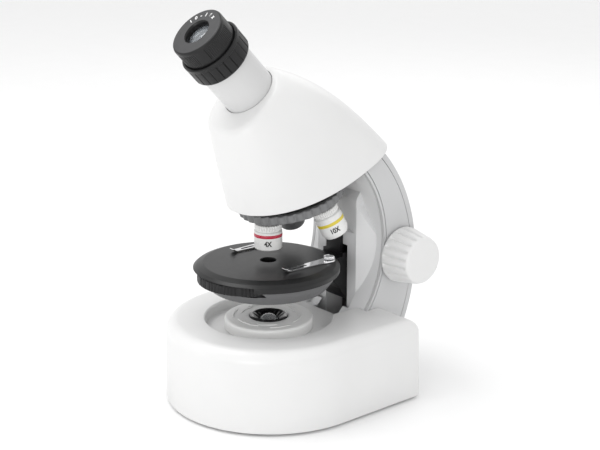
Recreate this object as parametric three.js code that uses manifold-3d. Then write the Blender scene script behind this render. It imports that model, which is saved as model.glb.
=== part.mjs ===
// A small educational microscope: D-shaped base with a lamp, crescent arm with a rack-and-pinion
// stage, three objectives on a tilted nosepiece, and a zoom eyepiece on an inclined tube.
// Millimetres, +Z up, the user sits on the -Y side, the optical axis is vertical at x = 0, y = 0
// inside the group `instrument`, which is moved so that the origin is under the middle of the box.
import * as THREE from 'three';
import { mergeVertices } from 'three/addons/utils/BufferGeometryUtils.js';
import Module from 'manifold-3d';

const wasm = await Module();
wasm.setup();

// ---- Driving dimensions ----
const GAP = 0.3; // clearance left between neighbouring pieces
const WALL = 2.6; // moulded wall thickness

const BASE = { radius: 66, centreY: 2.5, backY: 67.5, cornerRadius: 3, top: 50, fillet: 8, draft: 0.8 };
const RECESS = { radius: 38.8, floor: 43, channelHalf: 25, channelBack: 60 };
const PLATE = { bottom: 0.4, thickness: 2.2, inset: 4 };
const FOOT = { radius: 6, drop: 1.5, frontX: 39.4, frontY: -37.4, rearX: 52, rearY: 52 };
const BAY = { halfLength: 30, front: -26, rear: 8, top: 20, wall: 1.6, doorRim: 3, screwRim: 6.5 };
const BATTERY = { radius: 7.2, length: 50.4 };
const SWITCH = { x: 53, z: 26, holeHalfWidth: 7, holeHalfHeight: 6.2 };
const LAMP = { capRadius: 27.2, capTop: 50.1, bezelRadius: 11.6, boardZ: 36 };

const ARM = { half: 33.5, foot: 2.9, backBottom: 12.3, top: 160, tuck: 4,
  backY: -9.9, backZ: 78.3, backRadius: 102.1, seamRadius: 98.4 };
const ARM_SCREW = { x: 18, y: 56, radius: 1.4, headRadius: 3 };
const ARM_FRONT = { centreY: -6.6, centreZ: 92.4, radius: 71.5, thickness: 3 };
const COLUMN = { half: 18, rootHalf: 26.5, slotHalf: 10, frontY: 55.5, rearY: 69.4,
  footZ: 50, slotTop: 86.3, top: 126 };
const WEB = { outer: 31, inner: 28.5 };

const FOCUS = { y: 79.3, z: 81.7, shaftRadius: 2.5, pinionRadius: 5, knobInner: 34.5, knobOuter: 54.3 };
const KNOB = { innerRadius: 17.8, outerRadius: 14.5, flutes: 18, fluteDepth: 0.7 };

const STAGE = { top: 85.85, underside: 82.65, centreY: -1.5, radius: 44.7, faceRadius: 38.5,
  hole: 4.92, flangeBottom: 79.5 };
const BOWL = { topRadius: 41.5, bottomRadius: 35.5, bottom: 69.2, wall: 2,
  windowHalfAngle: 42, notchHalfAngle: 40.5 };
const WHEEL = { centreY: -14, radius: 32.1, bottom: 76.4, top: 82.2, apertures: 6, pitchRadius: 14 };
const CLIP = { x: 25.4, pivotY: 26.7, tipY: -5.5, z: 86.2, thickness: 0.8 };

const TURRET = { y: 18.9, z: 116.6, tilt: 15, radius: 33.2, rimBottom: 3.4, rimTop: 9, scallops: 36, seat: 2.1,
  portRadius: 19.6, hubRadius: 9.5, hubBottom: -6.4 };
const OBJECTIVES = [
  { name: '4x', angle: 0, length: 17.9, noseRadius: 7.6 },
  { name: '10x', angle: 120, length: 21, noseRadius: 6.6 },
  { name: '40x', angle: 240, length: 24, noseRadius: 7.4 },
];
const OBJECTIVE_RADIUS = 8.6;

const TUBE = { y: 2.6, z: 174.1, tilt: 43.5, radius: 16, start: 8, end: 54, face: 24.1 };
const RIM = { y: -72.5, z: 401, radius: 285.5 }; // arc of the head cover's lower edge, seen from the side
const HEAD = { faceHalf: 22.5, faceFront: 30.2, faceBack: 18.6, spread: 17.5, hump: 19.6,
  lean: 0.57, fillet: 3 };
const HEAD_BASE = { radius: 26.5, thickness: 3, lift: 0.8 };
const EYEPIECE = { barrelRadius: 11.5, ringStart: 51, ringEnd: 64, ringRadius: 18.7, capStart: 60, capEnd: 76.2,
  capRadius: 16.7 };

const DEG = Math.PI / 180;
const BOX_MIDDLE_Y = 16.8; // middle of the whole box along Y, measured from the optical axis

// ---- Finishes ----
const finish = (color, roughness, metalness = 0) =>
  new THREE.MeshStandardMaterial({ color, roughness, metalness });
const WHITE = finish(0xf0f0ee, 0.5);
const GREY = finish(0xc8c9ca, 0.5);
const CHARCOAL = finish(0x3c3d3f, 0.55);
const BLACK = finish(0x1e1e20, 0.5);
const STEEL = finish(0xbfc2c5, 0.3, 1);
const CHROME = finish(0xd8dadc, 0.12, 1);
const BRASS = finish(0xb08d45, 0.35, 1);
const RUBBER = finish(0x151515, 0.85);
const GLASS = finish(0xdfeaf0, 0.05);
const BOARD = finish(0x2f6b3a, 0.6);

// ---- Geometry helpers ----
// Shared vertices merged and empty triangles dropped, as the boolean library needs them.
function weld(geometry) {
  if (geometry.userData.welded) return geometry;
  const bare = geometry.index ? geometry.toNonIndexed() : geometry.clone();
  bare.deleteAttribute('normal');
  bare.deleteAttribute('uv');
  const merged = mergeVertices(bare, 1e-4);
  const index = [];
  for (let i = 0; i < merged.index.count; i += 3) {
    const [a, b, c] = [0, 1, 2].map((k) => merged.index.getX(i + k));
    if (a !== b && b !== c && c !== a) index.push(a, b, c);
  }
  merged.setIndex(index);
  merged.userData.welded = true;
  return merged;
}

function volume(geometry) {
  const p = geometry.attributes.position;
  const at = (i) => new THREE.Vector3().fromBufferAttribute(p, geometry.index.getX(i));
  let sum = 0;
  for (let i = 0; i < geometry.index.count; i += 3) sum += at(i).dot(at(i + 1).cross(at(i + 2)));
  return sum / 6;
}

// A welded geometry whose faces point outwards.
function closed(geometry) {
  const welded = weld(geometry);
  if (volume(welded) < 0) {
    const turned = [];
    for (let i = 0; i < welded.index.count; i += 3) {
      turned.push(welded.index.getX(i), welded.index.getX(i + 2), welded.index.getX(i + 1));
    }
    welded.setIndex(turned);
  }
  return welded;
}

function toManifold(geometry) {
  const welded = closed(geometry);
  return new wasm.Manifold(new wasm.Mesh({
    numProp: 3,
    vertProperties: new Float32Array(welded.attributes.position.array),
    triVerts: new Uint32Array(welded.index.array),
  }));
}

function fromManifold(manifold) {
  const mesh = manifold.getMesh();
  const geometry = new THREE.BufferGeometry();
  geometry.setAttribute('position', new THREE.BufferAttribute(new Float32Array(mesh.vertProperties), 3));
  geometry.setIndex(Array.from(mesh.triVerts));
  geometry.userData.welded = true;
  return geometry;
}

const combine = (method) => (first, ...others) =>
  fromManifold(others.reduce((sum, next) => sum[method](toManifold(next)), toManifold(first)));
const cut = combine('subtract');
const join = combine('add');
const common = combine('intersect');

function block(x0, x1, y0, y1, z0, z1) {
  const box = new THREE.BoxGeometry(x1 - x0, y1 - y0, z1 - z0);
  return box.translate((x0 + x1) / 2, (y0 + y1) / 2, (z0 + z1) / 2);
}

// Turned about +Z from [radius, z] points. A profile that doesn't start and end on the axis is a ring.
function turned(profile, segments = 26) {
  const points = profile.map(([r, z]) => new THREE.Vector2(r, z));
  const onAxis = profile[0][0] === 0 && profile[profile.length - 1][0] === 0;
  if (!onAxis) points.push(points[0].clone());
  return closed(new THREE.LatheGeometry(points, segments).rotateX(Math.PI / 2));
}

const disc = (radius, z0, z1, segments = 24) =>
  turned([[0, z0], [radius, z0], [radius, z1], [0, z1]], segments);
const ring = (inner, outer, z0, z1, segments = 24) =>
  turned([[inner, z0], [outer, z0], [outer, z1], [inner, z1]], segments);

// Extruded from an outline in X and Y, between two heights.
function upright(points, z0, z1, holes = []) {
  const shape = new THREE.Shape(points.map(([x, y]) => new THREE.Vector2(x, y)));
  shape.holes = holes.map((hole) => new THREE.Path(hole.map(([x, y]) => new THREE.Vector2(x, y))));
  const solid = new THREE.ExtrudeGeometry(shape, { depth: z1 - z0, bevelEnabled: false });
  return solid.translate(0, 0, z0);
}

// Extruded from an outline in Y and Z, between two values of X.
function sideways(points, x0, x1) {
  const axes = new THREE.Matrix4().makeBasis(
    new THREE.Vector3(0, 1, 0), new THREE.Vector3(0, 0, 1), new THREE.Vector3(1, 0, 0));
  return upright(points, x0, x1).applyMatrix4(axes);
}

// A skin over rings of equal length, flat at both ends.
function loft(rings) {
  const count = rings[0].length;
  const positions = rings.flat().flatMap((p) => [p.x, p.y, p.z]);
  const index = [];
  for (let k = 0; k + 1 < rings.length; k += 1) {
    for (let i = 0; i < count; i += 1) {
      const [a, b] = [k * count + i, k * count + ((i + 1) % count)];
      index.push(a, b, b + count, a, b + count, a + count);
    }
  }
  [0, rings.length - 1].forEach((k) => {
    const middle = rings[k].reduce((sum, p) => sum.add(p), new THREE.Vector3()).divideScalar(count);
    positions.push(middle.x, middle.y, middle.z);
    const centre = positions.length / 3 - 1;
    for (let i = 0; i < count; i += 1) {
      const [a, b] = [k * count + i, k * count + ((i + 1) % count)];
      index.push(...(k === 0 ? [centre, b, a] : [centre, a, b]));
    }
  });
  const geometry = new THREE.BufferGeometry();
  geometry.setAttribute('position', new THREE.Float32BufferAttribute(positions, 3));
  geometry.setIndex(index);
  return closed(geometry);
}

// Points of an arc, angles in degrees.
function arc(x, y, radius, from, to, steps) {
  return Array.from({ length: steps + 1 }, (_, i) => {
    const angle = (from + ((to - from) * i) / steps) * DEG;
    return [x + radius * Math.cos(angle), y + radius * Math.sin(angle)];
  });
}

// A circle whose radius swings in and out `count` times.
function fluted(radius, depth, count, steps) {
  return Array.from({ length: count * steps }, (_, i) => {
    const angle = (i / (count * steps)) * 2 * Math.PI;
    const r = radius - depth * (0.5 - 0.5 * Math.cos(angle * count));
    return [r * Math.cos(angle), r * Math.sin(angle)];
  });
}

const moved = (geometry, x, y, z) => geometry.clone().translate(x, y, z);
const alongX = (geometry) => geometry.clone().rotateY(Math.PI / 2);
const mirrored = (geometry) => closed(geometry.clone().scale(-1, 1, 1));

const instrument = new THREE.Group();
instrument.position.set(0, -BOX_MIDDLE_Y, FOOT.drop);

function add(name, geometry, material, parent = instrument) {
  const mesh = new THREE.Mesh(closed(geometry), material);
  mesh.name = name;
  parent.add(mesh);
  return mesh;
}

// ---- Base ----
function baseOutline(inset) {
  const { radius, centreY, backY, cornerRadius } = BASE;
  const r = radius - inset;
  const corner = Math.max(cornerRadius - inset / 3, 0.8);
  return [
    ...arc(0, centreY, r, 180, 360, 18),
    ...arc(r - corner, backY - inset - corner, corner, 0, 90, 3),
    ...arc(-r + corner, backY - inset - corner, corner, 90, 180, 3),
  ];
}

const baseRing = (inset, z) => baseOutline(inset).map(([x, y]) => new THREE.Vector3(x, y, z));

// The crescent between the front and the back of the arm, seen from the side. The back starts lower down.
function crescent(frontRadius, backRadius, frontBottom, backBottom, top) {
  const front = arcAcross(ARM_FRONT.centreY, ARM_FRONT.centreZ, frontRadius, frontBottom, top, 16);
  const back = arcAcross(ARM.backY, ARM.backZ, backRadius, backBottom, top, 14);
  return [...front, ...back.reverse()];
}

// The +Y side of a circle in Y and Z, from one height to another.
function arcAcross(y, z, radius, bottom, top, steps) {
  const angle = (height) => Math.asin(Math.max(-1, Math.min(1, (height - z) / radius))) / DEG;
  return arc(y, z, radius, angle(bottom), angle(top), steps);
}

// Room in the base for the arm: the crescent, and the arm's foot below and in front of it.
function armRoom() {
  const side = ARM.half + GAP;
  const low = ARM.backBottom - GAP;
  const above = sideways(crescent(ARM_FRONT.radius - GAP, ARM.backRadius + GAP, 36, low, 70), -side, side);
  return join(above, block(-side, side, 45, BASE.backY + 1, low, 32));
}

function buildBaseShell() {
  const { top, fillet, draft } = BASE;
  const curve = [0, 30, 60, 90].map((a) => baseRing(draft + fillet * (1 - Math.cos(a * DEG)),
    top - fillet + fillet * Math.sin(a * DEG)));
  const outside = loft([baseRing(0, 0), ...curve]);
  const ceiling = RECESS.floor - WALL;
  const inside = loft([baseRing(draft + WALL, -1), baseRing(draft + WALL, ceiling - 4),
    baseRing(draft + WALL + 3, ceiling)]);
  const dish = turned([[0, RECESS.floor], [RECESS.radius, RECESS.floor], [RECESS.radius + 0.2, top - 0.8],
    [RECESS.radius + 1, top + 0.01], [RECESS.radius + 1, top + 5], [0, top + 5]], 30);
  const channel = upright([[-RECESS.channelHalf, 0], [RECESS.channelHalf, 0],
    [RECESS.channelHalf, RECESS.channelBack], [-RECESS.channelHalf, RECESS.channelBack]],
  RECESS.floor, top + 5);
  const lampHole = disc(22, RECESS.floor - 10, top);
  const switchHole = block(-SWITCH.x - SWITCH.holeHalfWidth, -SWITCH.x + SWITCH.holeHalfWidth,
    BASE.backY - 8, BASE.backY + 2, SWITCH.z - SWITCH.holeHalfHeight, SWITCH.z + SWITCH.holeHalfHeight);
  return cut(outside, inside, dish, channel, lampHole, armRoom(), switchHole);
}

// A rocker in the back wall, hinged across its middle.
function buildSwitch() {
  const half = 4.6;
  const face = BASE.backY;
  return moved(sideways([[face - 5, -1.5], [face - 1.6, -half], [face + 0.2, -half], [face - 0.6, 0],
    [face + 1.4, half], [face - 1.6, half], [face - 5, 1.5]], -6.6, 6.6), -SWITCH.x, 0, SWITCH.z);
}

function buildBasePlate() {
  const { bottom, thickness, inset } = PLATE;
  const upper = bottom + thickness;
  const { halfLength, front, rear, top, wall, doorRim, screwRim } = BAY;
  const plate = upright(baseOutline(inset), bottom, upper);
  const bayOutside = block(-halfLength - wall, halfLength + wall, front - wall, rear + wall,
    upper - 0.5, top + wall);
  const bayInside = block(-halfLength, halfLength, front, rear, bottom - 1, top);
  const doorSeat = block(-halfLength - doorRim, halfLength + doorRim, front - doorRim, rear + screwRim,
    bottom - 1, bottom + 1.3);
  const doorScrewHole = moved(disc(1.3, bottom, upper + 1, 14), 0, rear + screwRim / 2, 0);
  const armScrewHoles = [-ARM_SCREW.x, ARM_SCREW.x].map((x) => moved(join(
    disc(ARM_SCREW.headRadius + GAP, bottom - 1, bottom + 1.3, 14),
    disc(ARM_SCREW.radius + GAP, bottom, upper + 1, 14)), x, ARM_SCREW.y, 0));
  return cut(join(plate, bayOutside), bayInside, doorSeat, doorScrewHole, ...armScrewHoles);
}

function buildBatteryDoor() {
  const { halfLength, front, rear, doorRim, screwRim } = BAY;
  const rim = doorRim - GAP;
  const door = block(-halfLength - rim, halfLength + rim, front - rim, rear + screwRim - GAP,
    PLATE.bottom, PLATE.bottom + 1);
  const lip = block(-halfLength + 0.5, halfLength - 0.5, front + 0.5, rear - 0.5, PLATE.bottom + 0.9,
    PLATE.bottom + 2);
  const screwHole = moved(disc(1.3, PLATE.bottom - 1, PLATE.bottom + 3, 14), 0, rear + screwRim / 2, 0);
  return cut(join(door, lip), screwHole);
}

function buildBattery() {
  const { radius, length } = BATTERY;
  const shape = [[0, -length / 2], [radius, -length / 2], [radius, length / 2 - 1.5], [2.7, length / 2 - 1.5],
    [2.7, length / 2], [0, length / 2]];
  return alongX(turned(shape, 18));
}

function buildLampCap() {
  const { capRadius, capTop } = LAMP;
  const seat = RECESS.floor + GAP;
  return turned([[12, capTop], [capRadius - 1.2, capTop], [capRadius, capTop - 1.2], [capRadius, seat],
    [21.5, seat], [21.5, RECESS.floor - 4], [19.5, RECESS.floor - 4], [19.5, capTop - 2.4],
    [12, capTop - 2.4]], 32);
}

function buildLampBezel() {
  const { bezelRadius, capTop } = LAMP;
  return turned([[bezelRadius, capTop + 0.3], [bezelRadius, capTop - 5], [6.2, capTop - 5], [6.2, capTop - 2.2],
    [9.4, capTop + 0.3]], 32);
}

function buildLampLens() {
  const base = LAMP.capTop - 4.6;
  const dome = arc(0, base + 1.2, 5.8, 0, 90, 5).map(([r, z]) => [r, base + 1.2 + (z - base - 1.2) * 0.55]);
  return turned([[0, base], ...dome.slice(0, -1), [0, dome[dome.length - 1][1]]], 32);
}

function buildLed() {
  const seat = LAMP.boardZ + 1.6 + GAP;
  return join(block(-2.5, 2.5, -2.5, 2.5, seat, seat + 1.2), disc(2, seat + 1, seat + 2.6, 14));
}

function addBase() {
  add('base_shell', buildBaseShell(), WHITE);
  add('base_plate', buildBasePlate(), WHITE);
  add('battery_door', buildBatteryDoor(), WHITE);
  const footPlaces = {
    foot_front_left: [-FOOT.frontX, FOOT.frontY],
    foot_front_right: [FOOT.frontX, FOOT.frontY],
    foot_rear_left: [-FOOT.rearX, FOOT.rearY],
    foot_rear_right: [FOOT.rearX, FOOT.rearY],
  };
  Object.entries(footPlaces).forEach(([name, [x, y]]) => {
    add(name, disc(FOOT.radius, -FOOT.drop, PLATE.bottom - GAP, 18), RUBBER).position.set(x, y, 0);
  });
  const bayMiddle = (BAY.front + BAY.rear) / 2;
  [-1, 1].forEach((side, i) => {
    const battery = add(`battery_${i + 1}`, buildBattery(), STEEL);
    battery.position.set(0, bayMiddle + side * (BATTERY.radius + 0.6), BATTERY.radius + PLATE.bottom + 2.4);
    battery.rotation.z = i * Math.PI;
    add(side < 0 ? 'battery_contact_left' : 'battery_contact_right',
      block(side * 28.4 - 0.4, side * 28.4 + 0.4, BAY.front + 2, BAY.rear - 2, 4, BAY.top - 2), STEEL);
  });
  add('battery_door_screw', turned([[0, PLATE.bottom - 0.9], [2.2, PLATE.bottom - 0.9],
    [2.2, PLATE.bottom - GAP],
    [1, PLATE.bottom - GAP], [1, 5], [0, 5]], 14), STEEL).position.set(0, BAY.rear + BAY.screwRim / 2, 0);
  add('led_board', disc(18, LAMP.boardZ, LAMP.boardZ + 1.6), BOARD);
  add('led', buildLed(), GLASS);
  add('lamp_cap', buildLampCap(), WHITE);
  add('lamp_bezel', buildLampBezel(), BLACK);
  add('lamp_lens', buildLampLens(), GLASS);
  add('power_switch', buildSwitch(), BLACK);
}

// ---- Arm ----
// Room for the nosepiece and its objectives to turn, as a body about the nosepiece's axis.
function nosepieceRoom() {
  const top = TURRET.rimTop + 4;
  const room = turned([[0, -30], [34, -30], [36.5, -1.5], [36.5, top], [0, top]], 32);
  return room.rotateX(TURRET.tilt * DEG).translate(0, TURRET.y, TURRET.z);
}

// A flared column: narrow at the front, wider where it meets the crescent's front wall.
function buildColumn() {
  const { half, rootHalf, frontY, rearY, top } = COLUMN;
  const outline = [[-half, frontY], [half, frontY], [rootHalf, frontY + 9], [rootHalf, rearY],
    [-rootHalf, rearY], [-rootHalf, frontY + 9]];
  const shoulder = sideways([[frontY - 2, top - 12], [frontY + 6, top + 1], [frontY - 2, top + 1]], -40, 32);
  return cut(upright(outline, ARM.backBottom, top), shoulder);
}

function buildArmFrame() {
  const { half, foot, backBottom, top, seamRadius } = ARM;
  const { centreY, centreZ, radius, thickness } = ARM_FRONT;
  const { frontY, rearY, slotTop, slotHalf, footZ } = COLUMN;
  const front = sideways([...arcAcross(centreY, centreZ, radius, 40, top, 14),
    ...arcAcross(centreY, centreZ, radius + thickness, 40, top, 14).reverse()], -WEB.outer, WEB.outer);
  const web = (x0, x1) => sideways(crescent(radius + 1, seamRadius - GAP, 40, backBottom + 4, top), x0, x1);
  const shoe = block(-COLUMN.rootHalf, COLUMN.rootHalf, 48.5, 62, foot, backBottom + 3);
  const leg = (x0, x1) => block(x0, x1, 48.5, 62, foot, 46);
  const body = join(front, web(-WEB.outer, -WEB.inner), web(WEB.inner, WEB.outer), buildColumn(), shoe,
    leg(-COLUMN.rootHalf, -COLUMN.rootHalf + 4), leg(COLUMN.rootHalf - 4, COLUMN.rootHalf));
  const relief = sideways([[frontY, top], [frontY, footZ], [frontY - 7, footZ - 7], [30, footZ - 7], [30, top]],
    -COLUMN.half, COLUMN.half);
  const slot = block(-slotHalf, slotHalf, 40, rearY + 2, foot + 5, slotTop);
  const shaftHole = alongX(disc(FOCUS.shaftRadius + 2.3, -60, 60, 18)).translate(0, FOCUS.y, FOCUS.z);
  const screwHoles = [-ARM_SCREW.x, ARM_SCREW.x].map((x) =>
    moved(disc(ARM_SCREW.radius + GAP, foot - 1, foot + 7, 14), x, ARM_SCREW.y, 0));
  const allowed = join(belowRim(GAP), headRoom(GAP));
  return cut(common(body, allowed), relief, slot, shaftHole, nosepieceRoom(), backKeep(), aboveRim(ARM.tuck),
    ...screwHoles);
}

// Everything outside the inner face of the back cover.
function backKeep() {
  const inner = arcAcross(ARM.backY, ARM.backZ, ARM.seamRadius - GAP, 2, 160, 18);
  return sideways([...inner, [140, 160], [140, 2]], -60, 60);
}

function buildSidePanel() {
  const panel = sideways(crescent(ARM_FRONT.radius, ARM.seamRadius - 0.2, 38, 30, ARM.top), WEB.outer + GAP, ARM.half);
  const shaftHole = alongX(disc(FOCUS.shaftRadius + 2.3, 20, 60, 18)).translate(0, FOCUS.y, FOCUS.z);
  return cut(panel, shaftHole, aboveRim(-GAP));
}

function buildBackCover() {
  const outer = arcAcross(ARM.backY, ARM.backZ, ARM.backRadius, 16, ARM.top, 26);
  const inner = arcAcross(ARM.backY, ARM.backZ, ARM.seamRadius, 16, ARM.top, 26);
  return cut(sideways([...inner, ...outer.reverse()], -ARM.half, ARM.half), aboveRim(-GAP));
}

function addArm() {
  add('arm_frame', buildArmFrame(), GREY);
  add('side_panel_right', buildSidePanel(), GREY);
  add('side_panel_left', mirrored(buildSidePanel()), GREY);
  add('back_cover', buildBackCover(), GREY);
  [['left', -1], ['right', 1]].forEach(([side, sign]) => {
    const { x, y, radius, headRadius } = ARM_SCREW;
    const screw = turned([[0, PLATE.bottom], [headRadius, PLATE.bottom], [headRadius, PLATE.bottom + 1],
      [radius, PLATE.bottom + 1], [radius, ARM.foot + 4], [0, ARM.foot + 4]], 14);
    add(`arm_screw_${side}`, screw, STEEL).position.set(sign * x, y, 0);
  });
}

// ---- Focus drive ----
const onFocusAxis = (geometry) => alongX(geometry).translate(0, FOCUS.y, FOCUS.z);

function buildKnob() {
  const { innerRadius, outerRadius, flutes, fluteDepth } = KNOB;
  const { knobInner, knobOuter } = FOCUS;
  const section = (radius, depth, x) => fluted(radius, depth, flutes, 3)
    .map(([y, z]) => new THREE.Vector3(x, y + FOCUS.y, z + FOCUS.z));
  const skin = loft([
    section(innerRadius, fluteDepth, knobInner),
    section(outerRadius + 0.5, fluteDepth, knobOuter - 2.5),
    section(outerRadius - 1, 0.1, knobOuter - 0.6),
    section(outerRadius - 4, 0, knobOuter),
  ]);
  const bore = onFocusAxis(disc(FOCUS.shaftRadius + GAP, knobInner - 1, knobInner + 12, 14));
  return cut(skin, bore);
}

function buildPinion() {
  const teeth = fluted(FOCUS.pinionRadius + 0.6, 1.6, 12, 4);
  const gear = upright(teeth, -4, 4, [arc(0, 0, FOCUS.shaftRadius + GAP, 0, 345, 23)]);
  return onFocusAxis(gear);
}

function addFocusDrive() {
  const { shaftRadius, knobInner } = FOCUS;
  const leftEnd = -ARM.half - GAP;
  add('focus_shaft', onFocusAxis(disc(shaftRadius, leftEnd, knobInner + 11, 18)), STEEL);
  add('pinion', buildPinion(), BRASS);
  const bush = onFocusAxis(ring(shaftRadius + 0.1, shaftRadius + 2, WEB.inner - 1, ARM.half - GAP, 18));
  add('shaft_bush_right', bush, BRASS);
  add('shaft_bush_left', mirrored(bush), BRASS);
  add('shaft_cap_left', onFocusAxis(turned([[0, leftEnd - 1], [4, leftEnd - 1], [4, leftEnd], [6.5, leftEnd],
    [6.5, leftEnd - 1.4], [5.7, leftEnd - 2.1], [0, leftEnd - 2.1]], 14)), GREY);
  add('focus_knob_right', buildKnob(), WHITE);
}

// ---- Stage ----
// A wedge pointing at the user, for the window over the filter wheel.
function wedge(halfAngle, z0, z1) {
  const reach = 60;
  const side = reach * Math.tan(halfAngle * DEG);
  return upright([[0, 0], [-side, -reach], [side, -reach]], z0, z1);
}

function buildStagePlate() {
  const { top, underside, centreY, radius, faceRadius, hole, flangeBottom } = STAGE;
  const plate = turned([[0, flangeBottom], [radius - 0.4, flangeBottom], [radius, flangeBottom + 0.4],
    [radius, underside - 0.2], [radius - 2, top - 1.7], [faceRadius, top], [0, top]], 32);
  const seat = disc(BOWL.topRadius + GAP, flangeBottom - 1, underside, 32);
  const screwHole = (x) => moved(disc(1.6, top - 5, top + 1, 14), x, CLIP.pivotY, 0);
  return cut(moved(plate, 0, centreY, 0), seat, wedge(BOWL.notchHalfAngle, flangeBottom - 1, underside),
    disc(hole, underside - 1, top + 1, 32), screwHole(-CLIP.x), screwHole(CLIP.x));
}

function buildStageBowl() {
  const { topRadius, bottomRadius, bottom, wall, windowHalfAngle } = BOWL;
  const upper = STAGE.underside - GAP;
  const bowl = turned([[9, bottom], [bottomRadius, bottom], [topRadius - 1.4, bottom + 6],
    [topRadius, STAGE.flangeBottom], [topRadius, upper], [topRadius - wall, upper],
    [topRadius - wall, STAGE.flangeBottom - 2], [bottomRadius - wall, bottom + wall], [9, bottom + wall]], 32);
  const window = wedge(windowHalfAngle, WHEEL.bottom - 1.2, upper + 1);
  const wheelRoom = moved(disc(WHEEL.radius + 0.8, WHEEL.bottom - 0.8, WHEEL.top + 1, 30), 0, WHEEL.centreY, 0);
  const lampHole = disc(9, bottom - 1, bottom + 8);
  const post = moved(disc(3.4, bottom + 0.5, WHEEL.bottom - GAP, 14), 0, WHEEL.centreY, 0);
  const screwHole = moved(disc(1.3, bottom - 1, WHEEL.bottom + 1, 14), 0, WHEEL.centreY, 0);
  return cut(join(cut(bowl, window), post), wheelRoom, lampHole, screwHole);
}

const RACK = { pitch: (2 * Math.PI * FOCUS.pinionRadius) / 12, teeth: 16, middleZ: 78.5, depth: 4.6 };

// The slider inside the column, the gusset that carries the bowl, and a tongue in front of the column.
function buildCarriage() {
  const { slotHalf, frontY } = COLUMN;
  const half = slotHalf - GAP;
  const rear = FOCUS.y - FOCUS.pinionRadius - RACK.depth - GAP;
  const top = 81.5;
  const ledge = STAGE.flangeBottom - GAP;
  const slider = block(-half, half, frontY + 2.4, rear, 50, top);
  const gusset = sideways([[30, 70], [36, 68], [44, 65], [50, 58.5], [frontY, 50.5], [rear, 46], [rear, top],
    [frontY - 3.1, top], [frontY - 3.1, ledge], [30, ledge]], -half + 0.3, half - 0.3);
  const tongue = block(-6.2, 6.2, frontY - 3.1, frontY - GAP, 80, 94);
  const bowlRoom = turned([[0, 60], [BOWL.bottomRadius + GAP, 60], [BOWL.bottomRadius + GAP, BOWL.bottom - 1],
    [BOWL.topRadius - 1.1, BOWL.bottom + 6], [BOWL.topRadius + GAP, STAGE.flangeBottom],
    [BOWL.topRadius + GAP, 90], [0, 90]], 30);
  const plateRoom = moved(disc(STAGE.radius + GAP, STAGE.flangeBottom - 0.5, 90, 30), 0, STAGE.centreY, 0);
  return cut(join(slider, gusset, tongue), bowlRoom, plateRoom);
}

// A toothed bar behind the carriage, in mesh with the pinion.
function buildRack() {
  const { pitch, teeth, middleZ, depth } = RACK;
  const line = FOCUS.y - FOCUS.pinionRadius;
  const steps = 4;
  const edge = Array.from({ length: teeth * steps + 1 }, (_, i) => {
    const z = middleZ + (i / steps - teeth / 2) * pitch;
    const phase = ((z - FOCUS.z) / pitch + 0.5) * 2 * Math.PI;
    return [line - 1 + 0.8 * Math.cos(phase), z];
  });
  const back = line - depth;
  return sideways([...edge, [back, edge[edge.length - 1][1]], [back, edge[0][1]]], -4, 4);
}

function buildFilterWheel() {
  const { radius, bottom, top, apertures, pitchRadius } = WHEEL;
  const ribs = fluted(radius, 0.5, 30, 2);
  const wheel = upright(ribs, bottom, top);
  const hollow = ring(6, radius - 2.5, bottom + 1.4, top + 1);
  const holes = Array.from({ length: apertures }, (_, i) => {
    const angle = (90 + (i * 360) / apertures) * DEG;
    return moved(disc(5.2 - i * 0.7, bottom - 1, top + 1, 14),
      pitchRadius * Math.cos(angle), pitchRadius * Math.sin(angle), 0);
  });
  return cut(wheel, hollow, ...holes, disc(1.7, bottom - 1, top + 1, 14));
}

function buildClip() {
  const { z, thickness, pivotY, tipY } = CLIP;
  const length = pivotY - tipY;
  const outline = [...arc(0, 0, 3.8, 0, 180, 10), [-3.4, -6], [-2.2, -length + 5], [-2, -length], [2, -length],
    [2.2, -length + 5], [3.4, -6]];
  const slot = [[-0.9, -20], [0.9, -20], [0.9, -28], [-0.9, -28]];
  const leaf = upright(outline, z, z + thickness, [arc(0, 0, 2, 0, 330, 11), slot]);
  const tip = sideways([[-length, z], [-length, z + thickness], [-length - 3, z + 2.4], [-length - 3, z + 1.6]], -2, 2);
  return join(leaf, tip);
}

function addStage() {
  add('stage_plate', buildStagePlate(), CHARCOAL);
  add('stage_bowl', buildStageBowl(), CHARCOAL);
  add('stage_carriage', buildCarriage(), BLACK);
  add('rack', buildRack(), BRASS);
  add('filter_wheel', buildFilterWheel(), BLACK).position.set(0, WHEEL.centreY, 0);
  add('wheel_screw', turned([[0, BOWL.bottom - 1.5], [3, BOWL.bottom - 1.5], [3, BOWL.bottom - GAP],
    [1, BOWL.bottom - GAP], [1, WHEEL.top], [0, WHEEL.top]], 14), STEEL).position.set(0, WHEEL.centreY, 0);
  [['left', -1], ['right', 1]].forEach(([side, sign]) => {
    add(`stage_clip_${side}`, buildClip(), CHROME).position.set(sign * CLIP.x, CLIP.pivotY, 0);
    const screw = turned([[0, STAGE.top - 4], [1.3, STAGE.top - 4], [1.3, CLIP.z + CLIP.thickness + GAP],
      [3.3, CLIP.z + CLIP.thickness + GAP], [3.3, STAGE.top + 3], [2.7, STAGE.top + 3.5], [0, STAGE.top + 3.5]], 18);
    add(`clip_screw_${side}`, screw, CHROME).position.set(sign * CLIP.x, CLIP.pivotY, 0);
  });
}

// ---- Nosepiece ----
const nosepiece = new THREE.Group();
nosepiece.position.set(0, TURRET.y, TURRET.z);
nosepiece.rotation.x = TURRET.tilt * DEG;
instrument.add(nosepiece);

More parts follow.
